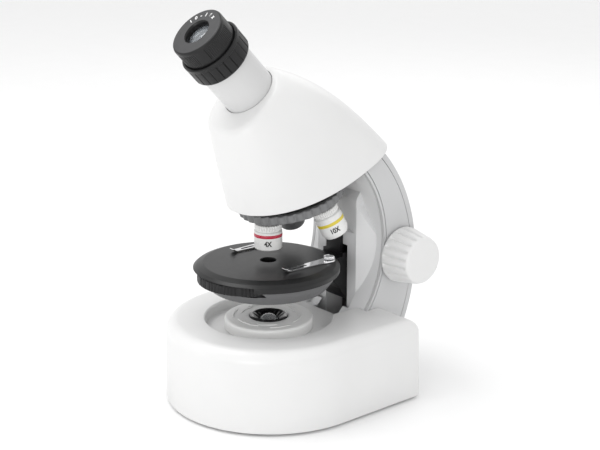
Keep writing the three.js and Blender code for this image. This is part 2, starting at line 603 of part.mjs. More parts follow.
function buildTurret() {
  const { radius, rimBottom, rimTop, scallops, portRadius, seat, hubRadius, hubBottom } = TURRET;
  const rim = upright(fluted(radius, 1.1, scallops, 2), rimBottom, rimTop);
  const hollow = ring(hubRadius, radius - 3.5, rimTop - 3, rimTop + 1, 22);
  const hub = turned([[0, hubBottom], [hubRadius - 4, hubBottom], [hubRadius - 1.2, hubBottom + 2.6],
    [hubRadius, rimBottom + 0.5], [0, rimBottom + 0.5]], 22);
  const inPort = (geometry, angle) => geometry.rotateX(-TURRET.tilt * DEG).translate(0, -portRadius, 0)
    .rotateZ(angle * DEG);
  const seats = OBJECTIVES.map(({ angle }) => inPort(disc(8.2, -seat, rimBottom + 1, 18), angle));
  const ports = OBJECTIVES.map(({ angle }) => inPort(disc(5, -4, rimTop + 4, 14), angle));
  return cut(join(rim, hub, ...seats), hollow, ...ports, disc(2.6, -6, rimTop + 1, 14),
    disc(4, hubBottom - 1, -3, 14));
}

function buildObjective(length, noseRadius) {
  const top = -GAP - TURRET.seat;
  return turned([[3, top], [7.9, top], [7.9, -5.4], [7.6, -5.8], [OBJECTIVE_RADIUS, -6.6],
    [OBJECTIVE_RADIUS, -length + 3.5], [noseRadius + 0.6, -length + 0.6], [noseRadius, -length], [3.6, -length],
    [3.6, -length + 3], [3, -length + 4]], 22);
}

// A frame on the nosepiece with its origin in the middle of a port and +Z along the port's axis.
function addPort(angle) {
  const arm = new THREE.Group();
  arm.rotation.z = angle * DEG;
  nosepiece.add(arm);
  const port = new THREE.Group();
  port.position.set(0, -TURRET.portRadius, 0);
  port.rotation.x = -TURRET.tilt * DEG;
  arm.add(port);
  return port;
}

function addNosepiece() {
  add('nosepiece', buildTurret(), CHARCOAL, nosepiece);
  add('nosepiece_pivot', turned([[0, -4.6], [3.4, -4.6], [3.4, -3.3], [2.3, -3.3], [2.3, TURRET.rimTop + 6],
    [0, TURRET.rimTop + 6]], 14), STEEL, nosepiece);
  OBJECTIVES.forEach(({ name, angle, length, noseRadius }) => {
    const port = addPort(angle);
    const material = name === '40x' ? CHARCOAL : GREY;
    add(`objective_${name}`, buildObjective(length, noseRadius), material, port);
    add(`front_lens_${name}`, disc(3.2, -length + 0.8, -length + 2.4, 14), GLASS, port);
  });
}

// ---- Head ----
// Sections at right angles to the eyepiece tube: half-width, front and back, from the face downwards.
function headSection(s, inset) {
  const drop = TUBE.face - s;
  const settle = (length) => 1 - Math.exp(-drop / length);
  const width = HEAD.faceHalf + HEAD.spread * settle(38);
  const back = HEAD.faceBack + HEAD.hump * settle(29);
  const front = HEAD.faceFront + HEAD.lean * drop;
  const edge = Math.max(0, HEAD.fillet - drop);
  const round = HEAD.fillet - Math.sqrt(Math.max(0, HEAD.fillet ** 2 - edge ** 2));
  const count = 32;
  return Array.from({ length: count }, (_, i) => {
    const angle = (i / count) * 2 * Math.PI;
    const [c, d] = [Math.cos(angle), Math.sin(angle)];
    const power = d > 0 ? 1.9 + 2.6 * settle(38) : 2.6 - 0.6 * settle(38);
    const off = inset + round * (0.7 - 0.3 * d);
    const reach = (d > 0 ? back : front) - off;
    const x = (width - off) * Math.sign(c) * Math.abs(c) ** (2 / power);
    const y = reach * Math.sign(d) * Math.abs(d) ** (2 / power);
    return new THREE.Vector3(x, y, s);
  });
}

const rimCurve = () => arc(RIM.y, RIM.z, RIM.radius, 262, 310, 14);

function belowRim(gap = 0) {
  const curve = rimCurve().map(([y, z]) => [y, z - gap]);
  return sideways([...curve, [120, curve[curve.length - 1][1]], [120, -10], [-120, -10],
    [-120, curve[0][1]]], -80, 80);
}

// Everything more than `depth` above the head cover's rim.
function aboveRim(depth) {
  const curve = rimCurve().map(([y, z]) => [y, z + depth]);
  return sideways([...curve, [120, curve[curve.length - 1][1]], [120, 300], [-120, 300],
    [-120, curve[0][1]]], -80, 80);
}

function tilted(geometry) {
  return geometry.rotateX(TUBE.tilt * DEG).translate(0, TUBE.y, TUBE.z);
}

const headStations = [24.1, 23.2, 21.1, 10, -4, -22, -46, -75];

// The room inside the head cover, shrunk further by `gap`.
function headRoom(gap = 0) {
  const sections = headStations.map((s) => headSection(s, WALL + gap));
  sections.forEach((section) => section.forEach((p) => { p.z -= WALL + gap; }));
  return tilted(loft(sections.reverse()));
}

function buildHeadCover() {
  const outside = tilted(loft(headStations.map((s) => headSection(s, 0)).reverse()));
  const inside = headRoom();
  const tubeHole = tilted(disc(TUBE.radius + GAP, 10, 40, 30));
  return cut(outside, inside, belowRim(), tubeHole);
}

// The plate that carries the nosepiece, with a leg on top of the arm's column.
function buildHeadBase() {
  const { radius, thickness, lift } = HEAD_BASE;
  const floor = TURRET.rimTop + lift;
  const plate = disc(radius, floor, floor + thickness, 32);
  const tongue = block(-15, 15, 15, 50, floor, floor + thickness);
  const lightHole = moved(disc(6.5, floor - 1, floor + 5, 18), 0, -TURRET.portRadius, 0);
  const pivotHole = disc(2.6, floor - 1, floor + 5, 14);
  const tray = cut(join(plate, tongue), lightHole, pivotHole);
  tray.rotateX(TURRET.tilt * DEG).translate(0, TURRET.y, TURRET.z);
  const leg = block(-15, 15, 61, 66.5, COLUMN.top + 0.4, 139);
  return join(tray, leg);
}

// A bent leaf on the plate's underside that clicks the nosepiece into place.
function buildDetentSpring() {
  const { rimTop } = TURRET;
  const leaf = block(-3.5, 3.5, 11, 27, rimTop - 1.3, rimTop - 0.7);
  const foot = block(-3.5, 3.5, 11, 13, rimTop - 1, rimTop + 0.5);
  return join(leaf, foot);
}

function buildPrismHousing() {
  const body = block(-13, 13, -12, 14, 131, 162.6);
  return cut(body, disc(7.5, 130, 163, 18));
}

function addHead() {
  add('head_cover', buildHeadCover(), WHITE);
  add('head_base', buildHeadBase(), BLACK);
  add('prism_housing', buildPrismHousing(), BLACK);
  add('prism', sideways([[-6, 163], [10, 163], [10, 179]], -9, 9), GLASS);
  add('detent_spring', buildDetentSpring().rotateX(TURRET.tilt * DEG).translate(0, TURRET.y, TURRET.z), STEEL);
}

// ---- Eyepiece ----
const tubeAxis = new THREE.Group();
tubeAxis.position.set(0, TUBE.y, TUBE.z);
tubeAxis.rotation.x = TUBE.tilt * DEG;
instrument.add(tubeAxis);

function addEyepiece() {
  const { barrelRadius, ringStart, ringEnd, ringRadius, capStart, capEnd, capRadius } = EYEPIECE;
  const { radius, start, end } = TUBE;
  add('eyepiece_tube', ring(barrelRadius + GAP, radius, start, end, 32), GREY, tubeAxis);
  add('eyepiece_barrel', turned([[9.5, 28], [barrelRadius, 28], [barrelRadius, end + GAP], [15.4, end + GAP],
    [15.4, end + 1.9], [10.6, end + 1.9], [10.6, capEnd - 9], [9.5, capEnd - 9]], 32), BLACK, tubeAxis);
  add('zoom_ring', turned([[radius + GAP, ringStart], [ringRadius - 0.8, ringStart], [ringRadius, ringStart + 0.8],
    [ringRadius, ringEnd - 1], [ringRadius - 0.6, ringEnd], [capRadius + GAP, ringEnd], [capRadius + GAP, end + 1],
    [radius + GAP, end + 1]], 32), BLACK, tubeAxis);
  add('eyecup', turned([[10.9, capStart], [capRadius, capStart], [capRadius, capEnd - 1], [capRadius - 1, capEnd],
    [8.2, capEnd], [7.4, capEnd - 1.4], [7.4, capEnd - 3.5], [10.9, capEnd - 3.5]], 32), BLACK, tubeAxis);
  add('eye_lens', turned([[0, capEnd - 5.1], [10.3, capEnd - 5.1], [10.3, capEnd - 3.8], [6.5, capEnd - 3.8],
    [4, capEnd - 3.2], [0, capEnd - 2.9]], 18), GLASS, tubeAxis);
  add('field_lens', turned([[0, 28.5], [5, 28.9], [9.2, 30], [9.2, 31.5], [0, 31.5]], 18), GLASS, tubeAxis);
}

addBase();
addArm();
addFocusDrive();
addStage();
addNosepiece();
addHead();
addEyepiece();

const microscope = new THREE.Group();
microscope.add(instrument);
export default microscope;
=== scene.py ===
"""Looks of the microscope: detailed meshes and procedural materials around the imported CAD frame.

Lengths are millimetres in the instrument's own frame until a piece is finished: +Z up, the user on
the -Y side, the optical axis vertical at x = 0, y = 0, and the base's lower edge at z = 0.
"""

import math

import bmesh
import bpy
from mathutils import Matrix, Vector


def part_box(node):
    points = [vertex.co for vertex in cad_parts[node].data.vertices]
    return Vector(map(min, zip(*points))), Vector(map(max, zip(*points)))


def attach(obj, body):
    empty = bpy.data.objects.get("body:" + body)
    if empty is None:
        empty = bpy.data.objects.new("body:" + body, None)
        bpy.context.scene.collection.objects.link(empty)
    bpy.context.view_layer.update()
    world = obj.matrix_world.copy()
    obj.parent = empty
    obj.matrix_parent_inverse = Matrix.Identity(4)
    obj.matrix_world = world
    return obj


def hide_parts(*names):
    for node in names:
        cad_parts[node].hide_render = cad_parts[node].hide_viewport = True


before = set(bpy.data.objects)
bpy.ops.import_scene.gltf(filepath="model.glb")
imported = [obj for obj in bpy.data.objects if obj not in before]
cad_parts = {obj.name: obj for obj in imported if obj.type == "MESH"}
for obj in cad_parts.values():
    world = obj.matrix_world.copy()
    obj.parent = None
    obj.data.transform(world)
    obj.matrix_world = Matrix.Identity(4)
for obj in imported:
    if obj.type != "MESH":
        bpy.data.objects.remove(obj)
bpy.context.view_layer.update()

MM = 0.001
lamp_low, lamp_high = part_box("lamp_cap")
ORIGIN = Vector((0, (lamp_low.y + lamp_high.y) / 2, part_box("base_shell")[0].z))
TO_FRAME = Matrix.Translation(ORIGIN) @ Matrix.Scale(MM, 4)
GAP = 0.3

# ---- Driving dimensions, as in the CAD model ----
BASE_RADIUS, BASE_CENTRE_Y, BASE_BACK, BASE_TOP, BASE_FILLET = 66, 2.5, 67.5, 50, 8
RECESS_RADIUS, RECESS_FLOOR = 38.8, 43
CAP_RADIUS, CAP_TOP, BEZEL_RADIUS = 27.2, 50.1, 11.6
ARM_HALF, ARM_TOP, ARM_LOW = 33.5, 160, 12.3
BACK_CENTRE, BACK_RADIUS, SEAM_RADIUS = (-9.9, 78.3), 102.1, 98.4
FRONT_CENTRE, FRONT_RADIUS = (-6.6, 92.4), 71.5
WEB_OUTER, WEB_INNER = 31, 28.5
COLUMN_FRONT, COLUMN_REAR, COLUMN_TOP = 55.5, 69.4, 126
FOCUS_Y, FOCUS_Z, SHAFT_RADIUS = 79.3, 81.7, 2.5
STAGE_TOP, STAGE_Y, STAGE_RADIUS, STAGE_FLANGE, STAGE_UNDER = 85.85, -1.5, 44.7, 79.5, 82.65
BOWL_TOP_RADIUS, BOWL_RADIUS, BOWL_BOTTOM = 41.5, 35.5, 69.2
WHEEL_Y, WHEEL_RADIUS, WHEEL_BOTTOM, WHEEL_TOP = -14, 32.1, 76.4, 82.2
CLIP_X, CLIP_Y, CLIP_TIP, CLIP_Z = 25.4, 26.7, -5.5, 86.2
TURRET_Y, TURRET_Z, TURRET_TILT, TURRET_RADIUS, PORT_RADIUS = 18.9, 116.6, 15, 33.2, 19.6
TUBE_Y, TUBE_Z, TUBE_TILT, TUBE_RADIUS = 2.6, 174.1, 43.5, 16
RIM_Y, RIM_Z, RIM_RADIUS = -72.5, 401, 285.5
WALL = 2.6
SWITCH_X, SWITCH_Z, SWITCH_HALF_X, SWITCH_HALF_Z = -53, 26, 7, 6.2
PLATE_LOW, PLATE_TOP = 0.4, 2.6
BAY_HALF, BAY_FRONT, BAY_REAR, BAY_TOP, BAY_WALL = 30, -26, 8, 20, 1.6
DOOR_HALF, DOOR_FRONT, DOOR_REAR, DOOR_SCREW_Y = 33, -29, 14.5, 11.25
ARM_SCREW_X, ARM_SCREW_Y = 18, 56
COLUMN_HALF, COLUMN_WIDE = 18, 26.5
SHOE_FRONT, SHOE_REAR, SHOE_LOW = 48.5, 62, 2.9
HEAD_TOP, TRAY_LOW, TRAY_TOP, TRAY_HALF = 24.1, 9.8, 12.8, 15
PINION_RADIUS, RACK_DEPTH = 5, 4.6
APERTURE_CIRCLE = 14
COLLAR_RADIUS, BARREL_RADIUS = 8.25, 8.6
TUBE_END = 54
ZOOM_START, ZOOM_STOP, ZOOM_RADIUS = 51, 64, 18.7
CUP_LOW, CUP_TOP, CUP_RADIUS = 60, 76.2, 16.7


# ---- Outlines ----
def arc(x, y, radius, start, end, steps):
    """Points of an arc, angles in degrees."""
    angles = [math.radians(start + (end - start) * i / steps) for i in range(steps + 1)]
    return [(x + radius * math.cos(a), y + radius * math.sin(a)) for a in angles]


def arc_across(centre, radius, bottom, top, steps):
    """The +Y side of a circle in Y and Z, from one height to another."""

    def angle(height):
        return math.degrees(math.asin(max(-1, min(1, (height - centre[1]) / radius))))

    return arc(centre[0], centre[1], radius, angle(bottom), angle(top), steps)


def rounded(points, loop=False, steps=5):
    """An outline whose corners are rounded: a third value is that corner's radius."""
    result = []
    last = len(points) - 1
    for i, point in enumerate(points):
        here = Vector(point[:2])
        radius = point[2] if len(point) > 2 else 0
        if not radius or (not loop and i in (0, last)):
            result.append(tuple(here))
            continue
        back = Vector(points[i - 1][:2]) - here
        ahead = Vector(points[(i + 1) % len(points)][:2]) - here
        half = back.angle(ahead) / 2
        reach = min(radius / math.tan(half), back.length * 0.49, ahead.length * 0.49)
        size = reach * math.tan(half)
        back.normalize()
        ahead.normalize()
        centre = here + (back + ahead).normalized() * (size / math.sin(half))
        first, final = here + back * reach - centre, here + ahead * reach - centre
        for k in range(steps + 1):
            result.append(tuple(centre + first.lerp(final, k / steps).normalized() * size))
    return result


# ---- Solids ----
def solid(verts, faces):
    """A closed object with faces pointing outwards."""
    mesh = bpy.data.meshes.new("solid")
    mesh.from_pydata([tuple(v) for v in verts], [], faces)
    bm = bmesh.new()
    bm.from_mesh(mesh)
    bmesh.ops.remove_doubles(bm, verts=bm.verts, dist=1e-4)
    bmesh.ops.recalc_face_normals(bm, faces=bm.faces)
    bm.to_mesh(mesh)
    bm.free()
    obj = bpy.data.objects.new("solid", mesh)
    bpy.context.scene.collection.objects.link(obj)
    return obj


def combined(operation, first, others):
    """The first solid after a Boolean step with each of the others, which are used up."""
    for other in others:
        modifier = first.modifiers.new("combine", "BOOLEAN")
        modifier.operation = operation
        modifier.solver = "MANIFOLD"
        modifier.object = other
    bpy.context.view_layer.update()
    depsgraph = bpy.context.evaluated_depsgraph_get()
    mesh = bpy.data.meshes.new_from_object(first.evaluated_get(depsgraph))
    first.modifiers.clear()
    first.data = mesh
    for other in others:
        bpy.data.objects.remove(other)
    return first


def cut(first, *others):
    return combined("DIFFERENCE", first, others)


def join(first, *others):
    return combined("UNION", first, others)


def common(first, *others):
    return combined("INTERSECT", first, others)


def block(x0, x1, y0, y1, z0, z1):
    verts = [(x, y, z) for z in (z0, z1) for y in (y0, y1) for x in (x0, x1)]
    faces = [(0, 2, 3, 1), (4, 5, 7, 6), (0, 1, 5, 4), (2, 6, 7, 3), (0, 4, 6, 2), (1, 3, 7, 5)]
    return solid(verts, faces)


def loft(rings):
    """A skin over rings of equal length, flat at both ends."""
    count = len(rings[0])
    verts = [v for ring in rings for v in ring]
    faces = []
    for k in range(len(rings) - 1):
        for i in range(count):
            a, b = k * count + i, k * count + (i + 1) % count
            faces.append((a, b, b + count, a + count))
    faces.append(tuple(range(count)))
    faces.append(tuple(range((len(rings) - 1) * count, len(rings) * count)))
    return solid(verts, faces)


def upright(points, z0, z1):
    """Extruded from an outline in X and Y between two heights."""
    return loft([[(x, y, z) for x, y in points] for z in (z0, z1)])


def sideways(points, x0, x1):
    """Extruded from an outline in Y and Z between two values of X."""
    return loft([[(x, y, z) for y, z in points] for x in (x0, x1)])


def turned(profile, segments=128, pattern=None):
    """Turned about Z from (radius, z) points; a third value is how deep the pattern cuts in there."""
    closed_ring = profile[0][0] > 1e-6 or profile[-1][0] > 1e-6
    verts, faces, rows = [], [], []
    for point in profile:
        depth = point[2] if len(point) > 2 else 0
        if point[0] < 1e-6:
            rows.append([len(verts)] * segments)
            verts.append((0, 0, point[1]))
            continue
        rows.append(list(range(len(verts), len(verts) + segments)))
        for i in range(segments):
            angle = 2 * math.pi * i / segments
            r = point[0] - (depth * pattern(angle) if depth else 0)
            verts.append((r * math.cos(angle), r * math.sin(angle), point[1]))
    if closed_ring:
        rows.append(rows[0])
    for low, high in zip(rows, rows[1:]):
        for i in range(segments):
            j = (i + 1) % segments
            face = []
            for v in (low[i], low[j], high[j], high[i]):
                if v not in face:
                    face.append(v)
            if len(face) > 2:
                faces.append(face)
    return solid(verts, faces)


def disc(radius, z0, z1, segments=96):
    return turned([(0, z0), (radius, z0), (radius, z1), (0, z1)], segments)


def moved(obj, x=0, y=0, z=0):
    obj.data.transform(Matrix.Translation((x, y, z)))
    return obj


def placed(obj, matrix):
    obj.data.transform(matrix)
    return obj


def along_x(obj):
    return placed(obj, Matrix.Rotation(math.pi / 2, 4, "Y"))


def mirrored(obj):
    copy = bpy.data.objects.new("solid", obj.data.copy())
    bpy.context.scene.collection.objects.link(copy)
    copy.data.transform(Matrix.Scale(-1, 4, (1, 0, 0)))
    copy.data.flip_normals()
    return copy


def grooves(count, width):
    """1 in the middle of each of `count` grooves, 0 between them."""

    def pattern(angle):
        phase = (angle * count / (2 * math.pi)) % 1 - 0.5
        return math.exp(-((phase / width) ** 2))

    return pattern


def waves(count):
    return lambda angle: 0.5 - 0.5 * math.cos(angle * count)


# ---- Materials ----
def texture(tree, coords, kind, **values):
    node = tree.nodes.new(kind)
    tree.links.new(coords, node.inputs["Vector"])
    for name, value in values.items():
        node.inputs[name.replace("_", " ")].default_value = value
    return node


def mapped(tree, value, low, high):
    node = tree.nodes.new("ShaderNodeMapRange")
    tree.links.new(value, node.inputs["Value"])
    node.inputs["From Min"].default_value = 0.3
    node.inputs["From Max"].default_value = 0.7
    node.inputs["To Min"].default_value = low
    node.inputs["To Max"].default_value = high
    return node.outputs["Result"]


def surface(name, colour, roughness, metallic=0, coat=0, mottle=0.03, grain=0.015, grain_size=0.0006,
            scuff=0.05, edge=0.35, stretch=(1, 1, 1), specular=0.5):
    """A moulded or plated surface: slow colour drift, uneven gloss, fine grain and softened edges."""
    material = bpy.data.materials.new(name)
    material.use_nodes = True
    tree = material.node_tree
    shader = tree.nodes["Principled BSDF"]
    shader.inputs["Metallic"].default_value = metallic
    shader.inputs["Coat Weight"].default_value = coat
    shader.inputs["Coat Roughness"].default_value = 0.12
    shader.inputs["Specular IOR Level"].default_value = specular
    where = tree.nodes.new("ShaderNodeTexCoord").outputs["Object"]
    stretched = tree.nodes.new("ShaderNodeMapping")
    stretched.inputs["Scale"].default_value = stretch
    tree.links.new(where, stretched.inputs["Vector"])
    drift = texture(tree, where, "ShaderNodeTexNoise", Scale=30.0, Detail=3.0)
    mix = tree.nodes.new("ShaderNodeMix")
    mix.data_type = "RGBA"
    dark = [c * (1 - mottle) for c in colour]
    light = [min(1, c * (1 + mottle)) for c in colour]
    mix.inputs["A"].default_value = (*dark, 1)
    mix.inputs["B"].default_value = (*light, 1)
    tree.links.new(mapped(tree, drift.outputs["Fac"], 0, 1), mix.inputs["Factor"])
    tree.links.new(mix.outputs["Result"], shader.inputs["Base Color"])
    wear = texture(tree, stretched.outputs["Vector"], "ShaderNodeTexNoise", Scale=260.0, Detail=5.0)
    tree.links.new(mapped(tree, wear.outputs["Fac"], roughness - scuff, roughness + scuff),
                   shader.inputs["Roughness"])
    fine = texture(tree, stretched.outputs["Vector"], "ShaderNodeTexNoise", Scale=1 / grain_size, Detail=2.0)
    soft = tree.nodes.new("ShaderNodeBevel")
    soft.samples = 4
    soft.inputs["Radius"].default_value = edge * MM
    bump = tree.nodes.new("ShaderNodeBump")
    bump.inputs["Strength"].default_value = 0.6
    bump.inputs["Distance"].default_value = grain * MM
    tree.links.new(fine.outputs["Fac"], bump.inputs["Height"])
    tree.links.new(soft.outputs["Normal"], bump.inputs["Normal"])
    tree.links.new(bump.outputs["Normal"], shader.inputs["Normal"])
    return material


def glass(name, tint):
    material = bpy.data.materials.new(name)
    material.use_nodes = True
    tree = material.node_tree
    shader = tree.nodes["Principled BSDF"]
    shader.inputs["Transmission Weight"].default_value = 0.85
    shader.inputs["IOR"].default_value = 1.49
    shader.inputs["Coat Weight"].default_value = 0.3
    where = tree.nodes.new("ShaderNodeTexCoord").outputs["Object"]
    smear = texture(tree, where, "ShaderNodeTexNoise", Scale=180.0, Detail=4.0)
    tree.links.new(mapped(tree, smear.outputs["Fac"], 0.02, 0.07), shader.inputs["Roughness"])
    shader.inputs["Base Color"].default_value = (*tint, 1)
    return material


WHITE = surface("white_moulding", (0.76, 0.76, 0.757), 0.36, coat=0.12, mottle=0.012, grain=0.008)
# The lamp cap's white is lighter than the other white mouldings: painted light, making up for the shade that
# falls on the cap under the stage.
CAP_WHITE_PAINTED_LIGHT = surface("lamp_cap_white_painted_light", (0.92, 0.92, 0.91), 0.4, coat=0.08, mottle=0.012, grain=0.01)
GREY = surface("grey_moulding", (0.55, 0.553, 0.557), 0.38, coat=0.1, mottle=0.02, grain=0.01)
# The arm frame's grey is lighter than the panels' grey: painted light, making up for the shade that falls on
# the front band and column under the head.
FRAME_GREY_PAINTED_LIGHT = surface("arm_moulding_painted_light", (0.74, 0.743, 0.748), 0.38, coat=0.1, mottle=0.02, grain=0.01)
TUBE_GREY = surface("tube_grey", (0.62, 0.62, 0.62), 0.35, coat=0.1, mottle=0.015, grain=0.008)
BARREL = surface("objective_white", (0.8, 0.8, 0.79), 0.3, coat=0.25, mottle=0.015, grain=0.006, edge=0.15)
CHARCOAL = surface("charcoal_moulding", (0.008, 0.0081, 0.0085), 0.34, mottle=0.03, grain=0.001, scuff=0.012,
                   specular=0.36)
BOWL_GREY = surface("bowl_moulding", (0.12, 0.121, 0.124), 0.42, mottle=0.03, grain=0.008)
TURRET_GREY = surface("nosepiece_moulding", (0.18, 0.182, 0.185), 0.45, mottle=0.04, grain=0.01)
BLACK = surface("black_moulding", (0.008, 0.008, 0.009), 0.36, mottle=0.1, grain=0.01, specular=0.3)
SATIN_BLACK = surface("eyepiece_black", (0.008, 0.008, 0.0085), 0.34, mottle=0.1, grain=0.01, edge=0.2,
                      specular=0.35)
FACE_BLACK = surface("eyepiece_face", (0.04, 0.04, 0.042), 0.5, mottle=0.08, grain=0.02)
GLOSS_BLACK = surface("lamp_bezel_black", (0.008, 0.008, 0.009), 0.1, coat=0.5, mottle=0.1, grain=0.002,
                      scuff=0.03)
CHROME = surface("chrome_plate", (0.78, 0.78, 0.79), 0.1, metallic=1, mottle=0.02, grain=0.003, scuff=0.04,
                 edge=0.1)
STEEL = surface("plated_steel", (0.55, 0.55, 0.56), 0.28, metallic=1, mottle=0.06, stretch=(1, 8, 1),
                edge=0.15)
BRASS = surface("machined_brass", (0.62, 0.43, 0.16), 0.28, metallic=1, mottle=0.08, stretch=(8, 1, 1),
                edge=0.15)
RUBBER = surface("foot_rubber", (0.02, 0.02, 0.02), 0.8, mottle=0.15, grain=0.05, grain_size=0.0012)
BOARD = surface("circuit_laminate", (0.02, 0.13, 0.045), 0.45, mottle=0.12, grain=0.02)
CELL = surface("printed_can", (0.09, 0.1, 0.12), 0.3, mottle=0.1, coat=0.3)
CRIMSON = surface("crimson_ring", (0.5, 0.005, 0.04), 0.3, mottle=0.04, coat=0.3, edge=0.05)
YELLOW = surface("yellow_ring", (0.72, 0.58, 0.06), 0.3, mottle=0.04, coat=0.3, edge=0.05)
INK = surface("black_ink", (0.02, 0.02, 0.02), 0.45, mottle=0.1, edge=0.02)
PALE_INK = surface("white_ink", (0.85, 0.85, 0.85), 0.45, mottle=0.05, edge=0.02)
CLEAR = glass("clear_lens", (0.95, 0.97, 0.98))
COATED = glass("coated_lens", (0.75, 0.8, 0.85))


# ---- Finishing a piece ----
SHARP = math.radians(32)


def smooth(obj):
    """Smooth shading that keeps the real edges sharp."""
    bm = bmesh.new()
    bm.from_mesh(obj.data)
    bmesh.ops.dissolve_degenerate(bm, dist=1e-5, edges=bm.edges)
    for face in bm.faces:
        face.smooth = True
    for edge in bm.edges:
        edge.smooth = len(edge.link_faces) == 2 and edge.calc_face_angle(0) < SHARP
    bm.to_mesh(obj.data)
    bm.free()


def piece(name, obj, material, body, slot, *nodes):
    """Names, scales and places a finished solid, and says what it stands for and rides on."""
    smooth(obj)
    obj.name = name
    obj.data.name = name
    obj.data.transform(TO_FRAME)
    obj.data.materials.clear()
    obj.data.materials.append(material)
    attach(obj, body)
    if nodes:
        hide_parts(*nodes)
    return obj


# ---- Base ----
def base_outline(inset):
    """The base seen from above: a half round front and a straight back with small corners."""
    r = BASE_RADIUS - inset
    corner = max(3 - inset / 3, 0.8)
    back = BASE_BACK - inset - corner
    return (arc(0, BASE_CENTRE_Y, r, 180, 360, 120) + arc(r - corner, back, corner, 0, 90, 8)
            + arc(-r + corner, back, corner, 90, 180, 8))


def base_ring(inset, z):
    return [(x, y, z) for x, y in base_outline(inset)]


def crescent(front_radius, back_radius, front_bottom, back_bottom, top):
    """The arm seen from the side, between two arcs."""
    front = arc_across(FRONT_CENTRE, front_radius, front_bottom, top, 72)
    back = arc_across(BACK_CENTRE, back_radius, back_bottom, top, 64)
    return front + back[::-1]


def base_shell():
    """A filleted cover with a round recess, a channel to the arm and slots for the arm and the switch."""
    draft = 0.8
    curve = [base_ring(draft + BASE_FILLET * (1 - math.cos(math.radians(a))),
                       BASE_TOP - BASE_FILLET + BASE_FILLET * math.sin(math.radians(a)))
             for a in range(0, 91, 6)]
    outside = loft([base_ring(0.7, 0), base_ring(0.25, 0.2), base_ring(0, 0.7)] + curve)
    ceiling = RECESS_FLOOR - WALL
    inside = loft([base_ring(draft + WALL, -1), base_ring(draft + WALL, ceiling - 4),
                   base_ring(draft + WALL + 3, ceiling)])
    floor, top, r = RECESS_FLOOR, BASE_TOP, RECESS_RADIUS
    dish = turned(rounded([(0, floor), (r, floor, 2), (r + 0.2, top - 0.9, 2), (r + 1.3, top + 0.1),
                           (r + 1.3, top + 5), (0, top + 5)]), 160)
    channel = upright([(-25, 0), (25, 0), (25, 60), (-25, 60)], floor, top + 5)
    side, low = ARM_HALF + GAP, ARM_LOW - GAP
    slot = join(sideways(crescent(FRONT_RADIUS - GAP, BACK_RADIUS + GAP, 36, low, 70), -side, side),
                block(-side, side, 45, BASE_BACK + 1, low, 32))
    switch = block(SWITCH_X - SWITCH_HALF_X, SWITCH_X + SWITCH_HALF_X, BASE_BACK - 8, BASE_BACK + 2,
                   SWITCH_Z - SWITCH_HALF_Z, SWITCH_Z + SWITCH_HALF_Z)
    return cut(outside, inside, dish, channel, disc(22, floor - 10, top), slot, switch)


def arc_rib(inner, outer, start, end, z0, z1):
    """A raised rib along an arc, with round ends."""
    steps = max(6, int((end - start) / 3))
    middle = (inner + outer) / 2
    cap = (outer - inner) / 2
    a, b = math.radians(end), math.radians(start)
    tip = arc(middle * math.cos(a), middle * math.sin(a), cap, end + 20, end + 160, 6)
    tail = arc(middle * math.cos(b), middle * math.sin(b), cap, start + 200, start + 340, 6)
    return upright(arc(0, 0, outer, start, end, steps) + tip
                   + arc(0, 0, inner, start, end, steps)[::-1] + tail, z0, z1)


def lamp_cap():
    seat, top, r = RECESS_FLOOR + GAP, CAP_TOP, CAP_RADIUS
    cap = turned(rounded([(12, top, 0.4), (r - 3, top), (r, top, 1.5), (r, seat), (21.5, seat),
                          (21.5, RECESS_FLOOR - 4), (19.5, RECESS_FLOOR - 4), (19.5, top - 2.4),
                          (12, top - 2.4)], loop=True), 160)
    ribs = []
    for k in range(3):
        turn = 120 * k
        for inner, outer, start, end in ((19.2, 20, 12, 62), (17, 17.8, 58, 96), (21.4, 22.2, 84, 118)):
            ribs.append(arc_rib(inner, outer, turn + start, turn + end, top - 0.5, top + 0.4))
    return join(cap, *ribs)


def lamp_bezel():
    top = CAP_TOP
    return turned([(BEZEL_RADIUS, top + 0.5), (BEZEL_RADIUS, top - 5), (6.2, top - 5), (6.2, top - 2.4),
                   (7.4, top - 1.4, 0.7), (9.2, top - 0.2, 0.5), (9.9, top + 0.5), (10.6, top + 0.75)],
                  144, waves(18))


def lamp_lens():
    low, r = CAP_TOP - 4.6, 5.8
    dome = [(r * math.cos(math.radians(a)), low + 1.2 + 4.4 * math.sin(math.radians(a)))
            for a in range(0, 90, 9)]
    return turned([(0, low), (r, low)] + dome + [(0, low + 5.6)], 72)


def lamp_reflector():
    low, high, r = CAP_TOP - 4.95, CAP_TOP - 4.75, 5.9
    return turned([(0, low), (r, low), (r, high), (0, high)], 48)


def foot(x, y):
    shape = turned(rounded([(0, -1.5), (6, -1.5, 0.6), (6, 0.1), (0, 0.1)]), 72)
    return moved(shape, x, y)


def base_plate():
    """The bottom plate with the battery bay, the door's seat and its screw holes."""
    low, upper, outer = PLATE_LOW, PLATE_TOP, BAY_HALF + BAY_WALL
    plate = upright(base_outline(4), low, upper)
    bay = block(-outer, outer, BAY_FRONT - BAY_WALL, BAY_REAR + BAY_WALL, upper - 0.5, BAY_TOP + BAY_WALL)
    inside = block(-BAY_HALF, BAY_HALF, BAY_FRONT, BAY_REAR, low - 1, BAY_TOP)
    seat = block(-DOOR_HALF, DOOR_HALF, DOOR_FRONT, DOOR_REAR, low - 1, low + 1.3)
    holes = [moved(disc(1.3, low, upper + 1, 32), 0, DOOR_SCREW_Y)]
    for x in (-ARM_SCREW_X, ARM_SCREW_X):
        holes.append(moved(disc(3.3, low - 1, low + 1.3, 48), x, ARM_SCREW_Y))
        holes.append(moved(disc(1.7, low, upper + 1, 32), x, ARM_SCREW_Y))
    return cut(join(plate, bay), inside, seat, *holes)


